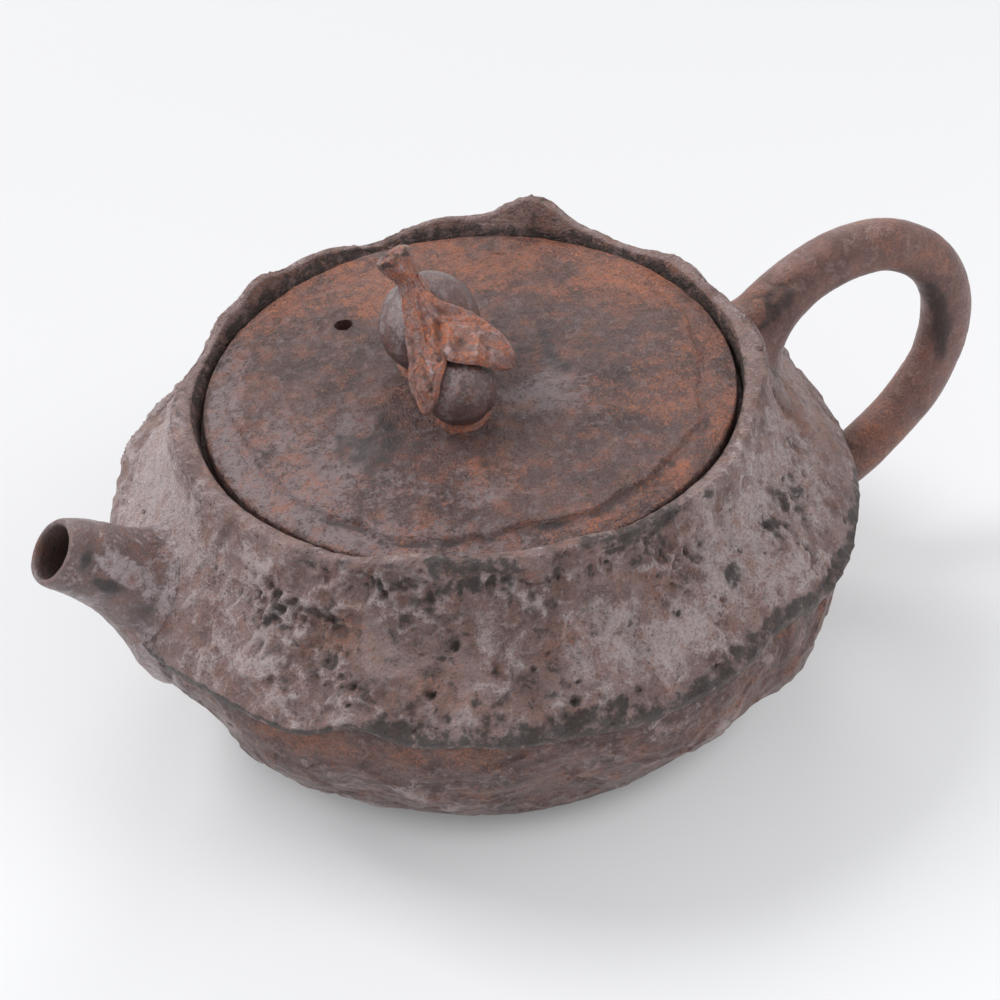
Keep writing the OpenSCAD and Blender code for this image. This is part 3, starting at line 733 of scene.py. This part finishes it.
def spout_skin():
    """Outside of the spout, its thin lip and the bore."""
    count, steps = 168, 130
    t = np.linspace(0, 1, steps)
    c = bez(SPOUT_LINE, t)
    d = unit(mix(SPOUT_IN[None], along(c), np.clip(t / 0.3, 0, 1)[:, None]))
    side = np.tile([0, 1, 0], (steps, 1))
    body = tube(c, side, np.cross(side, d), 5.35 + 2.6 * t + 2.2 * t ** 3 - 0.3 * np.exp(-t / 0.02), count)
    body = flared(body, c, 2, 2)
    depths = [15.2, 13, 10.9, 7, 4, 1.2, 0.35, 0, -0.12, 0]
    radii = [4.75, 4.45, SPOUT_BORE, SPOUT_BORE, SPOUT_BORE, SPOUT_BORE, 4.25, 4.42, 4.68, 4.92]
    inner_c = SPOUT_MOUTH + SPOUT_IN * np.array(depths)[:, None]
    top = np.cross(side[:1], SPOUT_IN[None])
    inner = tube(inner_c, np.repeat(side[:1], len(depths), 0), np.repeat(top, len(depths), 0), radii, count)
    g = np.concatenate([inner, body])
    n = grid_normals(g, False, True)
    p = g.reshape(-1, 3)
    row = np.repeat(np.arange(len(g)) - len(depths), count)
    out = smooth(row, 0, 6)
    s = np.clip(row / steps, 0, 1)
    turn = np.tile(round_angles(count), len(g))
    h = 0.28 * fbm(p, 8, 2, 311) + 0.13 * fbm(p, 2.4, 3, 314) - 0.07 * veins(warp(p, 4, 1, 321), 4, 324, 4)
    lip = 0.12 * fbm(p, 2.5, 2, 331) * smooth(np.abs(row + 2), 5, 1)
    p = p + n * (h * out + lip)[:, None]
    blotch = drift(p, 3, 1.2, 3.4, 341)
    soot = flanks(s, turn, SPOUT_SOOT_AND_SHADE)
    dark = out * smooth(soot + 0.5 * blotch, 0.15, 0.95) * smooth(soot, 0.02, 0.3)
    # Inside the bore the clay darkens deeper in, as painted shade.
    dark += (1 - out) * 0.8 * smooth(row, -1, -6)
    bloom = 0.15 + flanks(s, turn, SPOUT_BLOOM_AND_SHEEN) + 0.7 * smooth(s, 0.85, 1)
    pale = smooth(bloom + 0.8 * blotch, 0.15, 1) * smooth(row, -7, -1)
    joined = out * smooth(np.hypot(p[:, 0], p[:, 1]) - wall_radius(p[:, 2]), 3.5, 0.6)
    dark *= 1 - 0.8 * joined
    pale = np.maximum(pale, 0.75 * joined)
    rust = 0.25 * smooth(blotch, 0, 0.5) + flanks(s, turn, [(0.86, 0.05, 186, 12, 0.9)])
    rust += (1 - out) * 0.55 * smooth(row, -2, -6)
    return skin("spout_skin", p, grid_faces(len(g), count, False, True),
                {"dark": dark, "pale": pale, "rust": rust}, SPOUT_CLAY, "pot", ["spout"])


# The same from the upper root, each part of the handle 1 long. A turn of 90 is the inner side of the loop.
# HANDLE_SOOT_AND_SHADE: the first row is soot on the scar; the others darken the inner side of the loop as
# painted shade.
HANDLE_SOOT_AND_SHADE = [(0.42, 0.15, 214, 18, 0.95), (1.7, 0.45, 130, 36, 0.95), (1, 0.5, 110, 60, 0.3),
               (2.4, 0.5, 152, 26, 0.5)]


def handle_skin():
    """Loop handle: a hand-rolled coil, pressed in places, its roots smoothed onto the wall."""
    count, steps = 110, 110
    parts = [bez(q, np.linspace(0, 1, steps, endpoint=False)) for q in HANDLE_PARTS]
    c = np.concatenate(parts + [HANDLE_PARTS[-1][-1:]])
    t = np.arange(len(c)) / steps
    side = np.tile([0, 1, 0], (len(c), 1))
    radius = HANDLE_R + 1.9 * np.exp(-t / 0.28) + 1.2 * np.exp(-(4 - t) / 0.3) - 0.3 * np.clip(t - 1.5, 0, 1)
    g = flared(tube(c, side, np.cross(side, along(c)), radius, count), c, 1.6, 1.2)
    n = grid_normals(g, False, True)
    p = g.reshape(-1, 3)
    s = np.repeat(t, count)
    turn = np.tile(round_angles(count), len(g))
    dimple, _ = pits(p, 7.5, 0.35, 0.9, 1.7, 401)
    h = 0.28 * fbm(p, 12, 2, 411) + 0.11 * fbm(p, 4, 3, 414) - 0.2 * dimple + 0.03 * fbm(p, 1.4, 2, 421)
    scar = hill(s, 0.42, 0.22) * veins(warp(p, 4, 1.5, 431), 4.5, 434, 3) * lobe(turn, 230, 50)
    h -= 0.3 * scar
    p = p + n * h[:, None]
    dark = smooth(flanks(s, turn, HANDLE_SOOT_AND_SHADE) + 0.6 * drift(p, 5, 2, 5.5, 441), 0.22, 1) + 1.1 * scar
    # The flank row lightens the outer side of the loop as a painted highlight.
    bloom = 0.18 + flanks(s, turn, [(1, 0.5, 290, 50, 0.4)]) + 0.3 * hill(s, 0.05, 0.2) + 0.35 * dimple
    pale = smooth(bloom + 0.5 * fbm(p, 9, 3, 451), 0.15, 1.1)
    stain = 0.2 + 0.45 * smooth(s, 1.9, 3) + 0.3 * hill(s, 1.3, 0.3)
    stain += flanks(s, turn, [(0.35, 0.3, 260, 40, 0.4)])
    rust = smooth(stain + 0.6 * drift(p, 6, 2, 6.5, 461), 0.15, 1.05)
    p = np.vstack([p, c[0], c[-1]])
    return skin("handle_skin", p, tube_faces(len(g), count), {"dark": dark, "pale": pale, "rust": rust},
                HANDLE_CLAY, "pot", ["handle"])


# ---- lid ------------------------------------------------------------------

# Dents (rises where negative) in the top of the lid: rows of (x, y, half width in x, in y, depth).
PRESSED = [(8.5, -16.5, 3, 1.6, 0.30), (2, -20.5, 3.6, 1.3, 0.26), (-16, -9, 3.2, 2.4, 0.28),
           (-19.5, -5, 2.6, 3.4, -0.22), (13.5, -1.5, 4.2, 0.9, 0.22), (13, 1.2, 3.6, 0.9, 0.22),
           (12, 4.2, 3.4, 0.8, 0.18), (20, -8, 1.2, 4.5, 0.16), (-3, -24, 4, 1, 0.22),
           (-12.5, 21.7, 4.6, 4.6, 0.22), (24, 10, 3, 5, 0.2), (6, 27, 7, 3, 0.22)]
SLATE = [(14, 2, 12, 1), (-18, -8, 9, 0.9), (-2, -17, 6, 0.5), (2, 16, 6, 0.6)]
BAND_DROP = 0.62


def wander_at(a):
    """How far the band step strays from its circle."""
    return 0.5 * sind(5 * a + 20) + 0.4 * sind(9 * a + 100) + 0.35 * sind(16 * a) + 0.2 * sind(27 * a + 50)


def lid_grid(a):
    """Rows from the middle of the dome over the step and the rounded edge to the middle of the underside."""
    step = LID_STEP_R + wander_at(a)
    drop = BAND_DROP * (1 - 0.65 * lobe(a, 20, 75))
    rows = [ring(r, dome_z(r), a) for r in np.linspace(0.4, LID_STEP_R - 2.2, 74)]
    for k in np.linspace(0, 1, 12):
        r = step - 1.1 + 2 * k
        rows.append(ring(r, dome_z(r) - drop * (smooth(k, 0.15, 0.6) - 0.26 * hill(k, 0.1, 0.2)), a))
    low = dome_z(step + 0.9) - drop
    for k in np.linspace(0, 1, 12)[1:]:
        r, z = mix(step + 0.9, LID_R - 0.6, k), mix(low, LID_EDGE_Z + 0.1, k ** 1.3)
        rows.append(ring(r, z + 0.18 * sind(180 * k), a))
    for r, z in ((0.35, 0.03), (0.14, -0.1), (0.03, -0.35), (0, -0.8), (0, -1.9), (0, -2.9)):
        rows.append(ring(LID_R - r, LID_EDGE_Z + z, a))
    top_rows = len(rows)
    rows += [ring(LID_R - 0.1, LID_Z + 0.3, a), ring(LID_R - 0.4, LID_Z, a)]
    edge = FLANGE_R - 3
    rows += [ring(r, LID_Z, a) for r in np.linspace(LID_R - 1.4, edge, 5)]
    sag = dome_z(edge) - LID_T - LID_Z
    rows += [ring(r, dome_z(r) - LID_T - sag * (r / edge) ** 4, a) for r in np.linspace(edge, 0.4, 24)[1:]]
    return np.stack(rows, 1), top_rows


def lid_skin():
    """Lid plate: low dome, wandering band step, pressed marks round the knob and a real vent hole."""
    g, top_rows = lid_grid(round_angles(720))
    p, _, v = unrolled(g)
    ang, rad, _ = polar(p)
    top = smooth(v, top_rows - 2, top_rows - 6)
    x, y = p[:, 0], p[:, 1]
    pressed = sum(w * np.exp(-((x - px) / wx) ** 2 - ((y - py) / wy) ** 2) for px, py, wx, wy, w in PRESSED)
    band = smooth(rad, LID_STEP_R - 2.5, LID_STEP_R + 1)
    ripple = veins(warp(p, 5, 2, 501) * (0.7, 1.5, 1), 4.4, 504, 3) * hill(np.hypot(x - 4, y + 6), 12, 11)
    h = 0.26 * fbm(p, 13, 2, 511) + 0.25 * drift(p, 4, 1.2, 4, 515) * (0.7 + 0.9 * band) - pressed
    h += 0.22 * ripple + 0.06 * fbm(p, 1.3, 2, 521)
    gritty = patches(x, y, [(-6, -18, 7, 1)])
    h += gritty * 0.12 * np.clip(fbm(p, 0.9, 2, 524), 0, 1)
    around_vent = np.hypot(x - VENT[0], y - VENT[1])
    h += 0.16 * hill(around_vent, 5, 1) - 0.14 * hill(around_vent, 3, 1.2)
    h *= smooth(around_vent, 1.2, 2.6)
    p = p + ring(0, h * top, ang)

    wide = drift(p, 9, 3, 9, 531)
    blotch = drift(p, 3.5, 1.5, 3.8, 541)
    slate = np.clip(patches(x, y, SLATE), 0, 1)
    back = smooth(0.27 * x + 0.55 * y, 3, 15)
    right = smooth(0.93 * x - 0.36 * y, 12, 27)
    stain = 0.26 + 0.6 * back + 0.15 * right + 0.5 * gritty
    stain += patches(x, y, [(31, -16, 9, 0.5), (-18, -6, 4, 0.3)])
    stain += band * lobe(ang, 290, 55, 0.2) + smooth(rad, 15, 30) * lobe(ang, 205, 40, 0.25)
    stain *= 1 - 0.95 * slate
    rust = smooth(stain + 0.65 * wide + 0.4 * blotch, 0.2, 1.25) * (1 - 0.6 * slate)
    # The ripple crests are paler as painted highlights, and the oval patch right of the knob at (8, -10) is
    # a painted sheen.
    bloom = 0.14 + 0.2 * slate + 0.25 * np.clip(ripple, 0, 1) + 0.35 * back * hill(rad, 26, 6)
    bloom += patches(x / 1.2, y, [(8 / 1.2, -10, 5.5, 0.85)]) + patches(x, y, [(-8.6, -25, 4, 0.5)])
    bloom += smooth(rad, 12, 26) * lobe(ang, 195, 50, 0.65) + smooth(rad, 20, 32) * lobe(ang, 250, 40, 0.25)
    bloom += band * smooth(rad, 40.8, 39.6) * lobe(ang, 180, 80, 0.5)
    pale = smooth(bloom + 0.55 * wide - 0.3 * stain, 0.2, 1.15)
    # step_shadow_line is a painted shadow along the band step, strongest at the front; the pressed dents are
    # darkened as painted shade.
    step_shadow_line = hill(rad, LID_STEP_R + wander_at(ang) + 0.3, 0.75) * smooth(blotch, -0.6, 0)
    soot = 0.72 * slate + 0.9 * step_shadow_line * (0.15 + lobe(ang, 250, 70, 0.85)) + 0.67 * pressed
    soot += 0.25 * back * hill(rad, 37, 2.5) + flanks(rad, ang, [(22, 6, 215, 30, 0.35)])
    # The vent hole and its rim are darkened as painted shade.
    soot += smooth(rad, 30, 37) * lobe(ang, 345, 35, 0.3) + 0.9 * smooth(around_vent, 2.1, 1.5)
    dark = smooth(soot + 0.8 * blotch + 0.35 * wide, 0.25, 1.15)
    # The side of the lid's edge and its underside are darkened as painted shade in the gap by the collar.
    edge_gap_shade = smooth(v, top_rows - 4, top_rows - 1) * 0.6
    marks = {"dark": top * dark + edge_gap_shade, "pale": top * pale, "rust": top * rust}
    p = np.vstack([p, [[0, 0, LID_TOP], [0, 0, LID_TOP - LID_T]]])
    faces = turned_faces(*g.shape[:2])
    pierce(skin("lid_skin", p, faces, marks, LID_CLAY, "lid", ["lid_plate"]))


def pierce(lid):
    """Cuts the vent hole, slightly ragged and opened at the top, through the lid."""
    count = 48
    a = round_angles(count)
    ragged = 1 + 0.03 * sind(3 * a + 40) + 0.02 * sind(7 * a)
    steps = [(LID_Z - 2 - LID_TOP, 0.97), (-3.2, 0.98), (-1.5, 1), (-0.9, 1.05), (-0.55, 1.25), (1.5, 1.8)]
    g = np.array([ring(VENT_R * k * ragged, z, a) for z, k in steps])
    p = np.vstack([g.reshape(-1, 3), [[0, 0, steps[0][0]], [0, 0, steps[-1][0]]]]) + [*VENT, LID_TOP]
    tool = solid("vent_tool", p, tube_faces(len(steps), count))
    cut = lid.modifiers.new("vent", "BOOLEAN")
    cut.operation = "DIFFERENCE"
    cut.solver = "EXACT"
    cut.object = tool
    graph = bpy.context.evaluated_depsgraph_get()
    drilled = bpy.data.meshes.new_from_object(lid.evaluated_get(graph), depsgraph=graph)
    lid.modifiers.remove(cut)
    lid.data = drilled
    bpy.data.objects.remove(tool)


# ---- knob -----------------------------------------------------------------

def fruit_skin(name, centre, radius, seed, node):
    """A fruit: a slightly uneven ball with a shallow seam and a pressed dimple."""
    nu, nv = 110, 160
    lat, lon = np.meshgrid(np.linspace(-89.2, 89.2, nu), round_angles(nv), indexing="ij")
    d = ring(np.cos(np.radians(lat)).ravel(), np.sin(np.radians(lat)).ravel(), lon.ravel())
    q = d * radius
    seam = hill(d @ unit(np.array([0.86, 0.42, 0.25])), 0, 0.08)
    dimple = smooth(np.linalg.norm(d - unit(np.array([0.1, -0.75, 0.65])), axis=1), 0.42, 0.3)
    h = 0.26 * fbm(q, radius, 2, seed) + 0.05 * fbm(q, 2.2, 3, seed + 3) - 0.15 * seam - 0.06 * dimple
    p = centre + d * (radius - 0.14 + h)[:, None]
    up = d[:, 2]
    blotch = drift(p, 2.5, 0.8, 3, seed + 10)
    # The lower side is darkened as painted shade.
    dark = smooth(0.55 * smooth(up, 0.5, -0.6) + 0.5 * blotch, 0.1, 0.9)
    # lit_cheek is a painted highlight on the upper left front, and the top is made paler as painted light.
    lit_cheek = smooth(d @ unit(np.array([-0.85, -0.4, 0.35])), 0.2, 0.95)
    pale = smooth(0.15 + 0.2 * smooth(up, 0, 0.9) + 0.5 * lit_cheek + 0.3 * fbm(p, 3.5, 2, seed + 16), 0.15, 1.2)
    rust = 0.45 * smooth(blotch, 0.05, 0.5) + 0.85 * smooth(up, -0.55, -0.8)
    p = np.vstack([p, centre - [0, 0, radius - 0.14], centre + [0, 0, radius - 0.14]])
    return skin(name, p, tube_faces(nu, nv), {"dark": dark, "pale": pale, "rust": rust}, FRUIT_CLAY, "lid",
                [node])


def pad_skin():
    """The fillet of luting clay that holds both fruits to the lid."""
    count = 260
    a = round_angles(count)
    points, faces = [], []
    for centre, foot, neck, tall, phase in ((BIG_C, 5.6, 4.6, 1.9, 70), (SMALL_C, 4.15, 3.8, 1.4, 140)):
        base = np.array([*centre[:2], dome_z(np.hypot(*centre[:2])) - 0.35])
        wave = 1 + 0.03 * sind(3 * a + phase) + 0.02 * sind(7 * a + 2 * phase) + 0.015 * sind(16 * a)
        profile = [(1.06, -0.25), (1, 0.2), (0.8, 0.42), (0.5, 0.62), (0.25, 0.9), (0, tall), (-1.5, tall)]
        g = np.array([ring(mix(neck, foot, k) * wave, z, a) for k, z in profile])
        start = sum(len(q) for q in points)
        faces += [[i + start for i in face] for face in tube_faces(len(profile), count)]
        points.append(base + np.vstack([g.reshape(-1, 3), [[0, 0, -0.25], [0, 0, tall]]]))
    p = np.vstack(points)
    p = p + np.stack([fbm(p, 1.3, 3, 601 + 3 * i) for i in range(3)], 1) * 0.22
    marks = {"rust": 0.75 + 0.5 * fbm(p, 1.6, 3, 602), "dark": 0.5 * smooth(fbm(p, 1.8, 2, 605), 0, 0.5),
             "pale": 0.35 * smooth(fbm(p, 1.4, 2, 608), 0.05, 0.5)}
    return skin("knob_pad_skin", p, faces, marks, LEAF_CLAY, "lid", ["knob_pad"])


def stem_skin():
    """The stem: a fleshy stalk with twisted fibres and a pinched-off, speckled end."""
    count, steps = 84, 80
    t = np.linspace(0, 1, steps)
    c = bez([(-4.6, 3.4, 67.4), (-5.9, 5.4, 70.6), (-6.8, 6.4, 73), STEM_TIP - [0.2, -0.3, 0.4]], t)
    d = along(c)
    side = unit(np.cross(d, [0, 1, 0]))
    top = np.cross(d, side)
    radius = mix(mix(3, STEM_NECK, smooth(t, 0, 0.5)), STEM_R, smooth(t, 0.5, 0.86))
    radius -= 0.9 * smooth(t, 0.9, 1) ** 2
    turn = np.radians(round_angles(count))
    ribs = 1 + 0.05 * np.sin(4 * turn + 2.5 * t[:, None]) + 0.03 * np.sin(7 * turn - 4 * t[:, None] + 1)
    g = tube(c, side, top, radius[:, None] * ribs, count)
    hollow = [(0.12, 1.55), (-0.05, 1.2), (-0.3, 0.9), (-0.42, 0.45)]
    end = [tube(c[-1:] + d[-1:] * s, side[-1:], top[-1:], r, count)[0] for s, r in hollow]
    g = np.concatenate([g, end])
    p = g.reshape(-1, 3)
    h = 0.2 * fbm(p, 2.6, 3, 701) + 0.08 * fbm(p, 0.9, 2, 705)
    p = p + grid_normals(g, False, True) * h[:, None]
    s = np.repeat(np.append(t, [1] * len(hollow)), count)
    blotch = drift(p, 1.6, 0.6, 1.6, 711)
    tip = smooth(s, 0.74, 0.9)
    marks = {"dark": 1.1 * tip * smooth(blotch, -0.3, 0.2) + 0.4 * smooth(blotch, 0.15, 0.5),
             "rust": 0.55 + 0.5 * fbm(p, 2, 3, 718),
             "pale": 0.2 + 0.6 * smooth(fbm(p, 2.2, 3, 722), -0.1, 0.5)}
    p = np.vstack([p, c[0], c[-1] - d[-1] * 0.42])
    return skin("stem_skin", p, tube_faces(len(g), count), marks, LEAF_CLAY, "lid", ["knob_stem"])


def fruits_gap(p):
    """Distance from the two fruits, blended where they meet, and the direction away from them."""
    to_big, to_small = p - BIG_C, p - SMALL_C
    far_big = np.linalg.norm(to_big, axis=-1, keepdims=True)
    far_small = np.linalg.norm(to_small, axis=-1, keepdims=True)
    d1, d2, k = far_big - BIG_R, far_small - SMALL_R, 4
    h = np.clip(0.5 + 0.5 * (d2 - d1) / k, 0, 1)
    out = unit(mix(to_small / far_small, to_big / far_big, h))
    return mix(d2, d1, h) - k * h * (1 - h), out


def drape(p, gap, pull):
    """Moves points part of the way down onto the fruits, and those inside them out, to lie so far above."""
    d, out = fruits_gap(p)
    p = p - out * np.clip(d - gap, 0, None) * pull
    for _ in range(4):
        d, out = fruits_gap(p)
        p = p - out * np.clip(d - gap, None, 0)
    return p


LEAF_SIZE = np.array([20, 8])


def strokes(t, w, rows):
    """Soft strokes on a leaf: rows of (t0, w0, t1, w1, half width, rise), from (t0, w0) to (t1, w1), where t
    runs along the leaf and w across it."""
    total = 0 * t
    for t0, w0, t1, w1, reach, rise in rows:
        run = LEAF_SIZE * (t1 - t0, w1 - w0)
        off = LEAF_SIZE * np.stack([t - t0, w - w0], -1)
        k = np.clip(off @ run / (run @ run), 0, 1)
        total = total + rise * np.exp(-(np.linalg.norm(off - k[..., None] * run, axis=-1) / reach) ** 2)
    return total


LEAF_THICK = 0.6


def leaf_skin(name, edges, lift, ridges, grooves, seed, node):
    """A doughy leaf laid over the fruits between two edge curves, with a fat rim, veins and folds."""
    nu, nv = 170, 120
    t, w = np.linspace(0, 1, nu), np.linspace(0, 1, nv)
    tt, ww = np.meshgrid(t, w, indexing="ij")
    first, last = through(edges[0], t), through(edges[1], t)
    mid = mix(first[:, None], last[:, None], ww[..., None])
    mid = drape(mid, 0.45 + lift, 0.5 * smooth(t, 0.8, 0.4)[:, None, None])
    _, out = fruits_gap(mid)
    mid = mid + out * (0.45 * np.sin(np.pi * ww) * np.sin(np.pi * tt))[..., None]
    n = grid_normals(mid, False, False).reshape(mid.shape)
    n = n * np.sign((n * out).sum(-1).mean())

    bend = 0.03 * np.sin(9 * tt + seed) + 0.02 * np.sin(17 * tt)
    raised = strokes(tt, ww + bend, ridges)
    cut = strokes(tt, ww + bend, grooves)
    flat = mid.reshape(-1, 3)
    uneven = (0.6 * fbm(flat, 3, 2, 800 + seed) + 0.2 * fbm(flat, 1.2, 2, 805 + seed)).reshape(nu, nv)
    side = np.abs(2 * ww - 1)
    rim = np.sqrt(np.clip(1 - side ** 8, 0, 1)) * np.sqrt(np.clip(1 - smooth(tt, 0.9, 1) ** 3, 0.02, 1))
    curl = 0.28 * hill(side, 0.86, 0.12)
    upper = mid + n * (rim * (LEAF_THICK + raised - cut + uneven + curl))[..., None]
    lower = mid - n * (rim * 0.7 * LEAF_THICK)[..., None]
    g = np.concatenate([upper, lower[:, ::-1]], 1)
    p = g.reshape(-1, 3)

    def above(values):
        return np.concatenate([values, 0 * values], 1).reshape(-1)

    blotch = fbm(warp(p, 2, 0.8, 810 + seed), 2.4, 3, 815 + seed)
    wide = fbm(p, 4.5, 2, 825 + seed)
    # Raised strokes and the curled rim are paler as painted highlights; the cut grooves and the low places
    # are darker as painted shade.
    marks = {"pale": smooth(above(1.2 * raised + curl - cut) + 0.45 * blotch + 0.4 * wide, 0.1, 1.1),
             "dark": smooth(above(0.7 * cut - 0.7 * uneven) + 0.15 - 0.6 * blotch, 0.15, 0.95),
             "rust": smooth(0.6 + 0.9 * fbm(p, 2.6, 3, 835 + seed), 0.1, 1.05)}
    p = np.vstack([p, g[0].mean(0), g[-1].mean(0)])
    return skin(name, p, tube_faces(nu, 2 * nv), marks, LEAF_CLAY, "lid", [node])


# The two long edges of each leaf, from the stem to the tip, and its strokes.
LONG_LEAF = [
    [(-4.3, 6.6, 71.9), (-4.5, 3.6, 71.7), (-3.8, 0.8, 70.7), (-1.3, -0.8, 69.4), (1.3, -1.7, 67.8),
     (3.2, -3.6, 66.3), (4.1, -6.2, 65.2), (4.3, -8.6, 64.3), (4.1, -10.3, 63.4)],
    [(-6.9, 4.6, 71.2), (-7.6, 1.2, 69.9), (-7.4, -2.2, 67.8), (-7.2, -5.8, 66.7), (-6.4, -9.6, 66.9),
     (-4.4, -11.6, 66.8), (-2, -12.1, 66), (0.3, -12.4, 64.6), (2.5, -11.7, 63.2), (4.1, -10.3, 63.4)]]
LONG_RIDGES = [(0.02, 0.45, 0.3, 0.4, 0.5, 0.25), (0.3, 0.4, 0.6, 0.42, 0.45, 0.35),
               (0.6, 0.42, 0.92, 0.5, 0.4, 0.25), (0.1, 0.3, 0.3, 0.16, 0.35, 0.18),
               (0.3, 0.36, 0.52, 0.14, 0.35, 0.2), (0.5, 0.4, 0.72, 0.18, 0.3, 0.18),
               (0.26, 0.45, 0.34, 0.8, 0.45, 0.35), (0.4, 0.5, 0.47, 0.97, 0.5, 0.5),
               (0.58, 0.48, 0.62, 0.97, 0.4, 0.45), (0.76, 0.55, 0.83, 0.9, 0.35, 0.22)]
LONG_GROOVES = [(0.33, 0.5, 0.4, 0.95, 0.42, 0.5), (0.49, 0.62, 0.54, 1, 0.5, 0.5),
                (0.67, 0.6, 0.71, 1, 0.4, 0.3), (0.16, 0.55, 0.26, 0.8, 0.4, 0.3),
                (0.2, 0.24, 0.42, 0.24, 0.3, 0.16)]
SHORT_LEAF = [
    [(-7.7, 6.6, 70.9), (-8.4, 3, 70.3), (-9.1, 0.3, 68.3), (-10.1, -2.3, 65.4), (-10.9, -4.6, 62.7),
     (-11.5, -7.2, 61.3), (-11.1, -10, 60.4), (-10.5, -12.3, 59.6)],
    [(-5.6, 5, 71.7), (-5.6, 0.6, 70.3), (-5.4, -2.4, 67.9), (-5.4, -6, 66.6), (-6.2, -9.6, 66.9),
     (-7.3, -11.2, 66.2), (-8.4, -12.3, 65), (-9.3, -13.1, 63), (-10.5, -12.3, 59.6)]]
SHORT_RIDGES = [(0, 0.5, 0.35, 0.5, 0.5, 0.25), (0.35, 0.5, 0.6, 0.4, 0.45, 0.3),
                (0.6, 0.4, 0.9, 0.5, 0.4, 0.2), (0.46, 0.48, 0.57, 0.72, 0.4, 0.45),
                (0.57, 0.72, 0.74, 0.86, 0.42, 0.45)]
SHORT_GROOVES = [(0.6, 0.56, 0.8, 0.78, 0.42, 0.5), (0.12, 0.75, 0.36, 0.82, 0.45, 0.35),
                 (0.36, 0.82, 0.52, 0.88, 0.5, 0.5), (0.4, 0.2, 0.75, 0.24, 0.35, 0.3)]


# ---- stage ----------------------------------------------------------------

def softbox(name, at, size, watts):
    """A rectangular soft light turned towards the pot."""
    light = bpy.data.lights.new(name, "AREA")
    light.shape = "RECTANGLE"
    light.size, light.size_y = size
    light.energy = watts
    o = add_object(name, light)
    o.location = at
    o.rotation_euler = (Vector((0, 0, 0.03)) - Vector(at)).to_track_quat("-Z", "Y").to_euler()


def paper():
    """The floor's material. Its own light is strongest in front and weak under the pot."""
    m = Nodes("paper")
    away = m.node("VectorMath", {0: m.place}, operation="LENGTH")
    near = m.ramp(away["Value"], 0.035, 0.047, 0.22, 1)
    front = m.ramp(m.node("SeparateXYZ", {0: m.place})["Y"], -0.12, 0.25, 0.35, 0.16)
    for key, value in (("Base Color", (0.6, 0.6, 0.61, 1)), ("Emission Color", (0.97, 0.98, 1, 1)),
                       ("Emission Strength", m.math("MULTIPLY", near, front)), ("Roughness", 0.85),
                       ("Specular IOR Level", 0.1)):
        m.put(m.bsdf.inputs[key], value)
    return m.mat


FLOOR_HALF = 3


def studio():
    """Pale floor under an even sky and three soft lights, two from behind and one from the front."""
    mesh = bpy.data.meshes.new("floor")
    corners = [(-1, -1), (1, -1), (1, 1), (-1, 1)]
    mesh.from_pydata([(FLOOR_HALF * x, FLOOR_HALF * y, 0) for x, y in corners], [], [[0, 1, 2, 3]])
    mesh.materials.append(paper())
    floor = add_object("floor", mesh)

    world = bpy.data.worlds.new("studio")
    bpy.context.scene.world = world
    world.use_nodes = True
    sky = world.node_tree.nodes["Background"].inputs
    sky["Color"].default_value = (0.98, 0.99, 1, 1)
    sky["Strength"].default_value = 0.52
    softbox("key", (-0.5, 0.5, 0.85), (0.5, 0.4), 6.4)
    softbox("sheen", (0.4, 0.85, 0.72), (0.45, 0.35), 3)
    softbox("fill", (0.7, -0.5, 0.8), (0.7, 0.5), 2.4)


def camera():
    """Looks down at the pot from the front left with a long lens, slightly rolled."""
    azimuth, elevation, roll = map(math.radians, (-18, 37.7, 5.2))
    distance, focal = 0.65, 4.2406
    target, seen_at = Vector((0, 0, 0.052)), (-0.0307, 0.1091)
    level = math.cos(elevation)
    back = Vector((math.sin(azimuth) * level, -math.cos(azimuth) * level, math.sin(elevation)))
    right = Vector((math.cos(azimuth), math.sin(azimuth), 0))
    up = back.cross(right)
    x = right * math.cos(roll) - up * math.sin(roll)
    y = right * math.sin(roll) + up * math.cos(roll)
    turn = Matrix((x, y, back)).transposed()
    ray = Vector((seen_at[0] / focal, seen_at[1] / focal, -1))
    aim = ray.rotation_difference(Vector((0, 0, -1))).to_matrix()
    data = bpy.data.cameras.new("camera")
    data.sensor_width = 36
    data.lens = data.sensor_width * focal
    o = add_object("camera", data)
    o.matrix_world = Matrix.Translation(target + back * distance) @ (turn @ aim).to_4x4()
    bpy.context.scene.camera = o


# ---- assembly -------------------------------------------------------------

bpy.context.scene.view_settings.view_transform = "Standard"
camera()
studio()
upper_skin()
bowl_skin()
foot_skin()
spout_skin()
handle_skin()
lid_skin()
fruit_skin("fruit_big_skin", BIG_C, BIG_R, 901, "fruit_big")
fruit_skin("fruit_small_skin", SMALL_C, SMALL_R, 921, "fruit_small")
pad_skin()
stem_skin()
leaf_skin("leaf_long_skin", LONG_LEAF, 0.3, LONG_RIDGES, LONG_GROOVES, 1, "leaf_long")
leaf_skin("leaf_short_skin", SHORT_LEAF, 0.1, SHORT_RIDGES, SHORT_GROOVES, 2, "leaf_short")
for node, material in (("lid_seat", BOWL_CLAY), ("lid_flange", LID_CLAY)):
    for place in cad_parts[node].material_slots:
        place.material = material
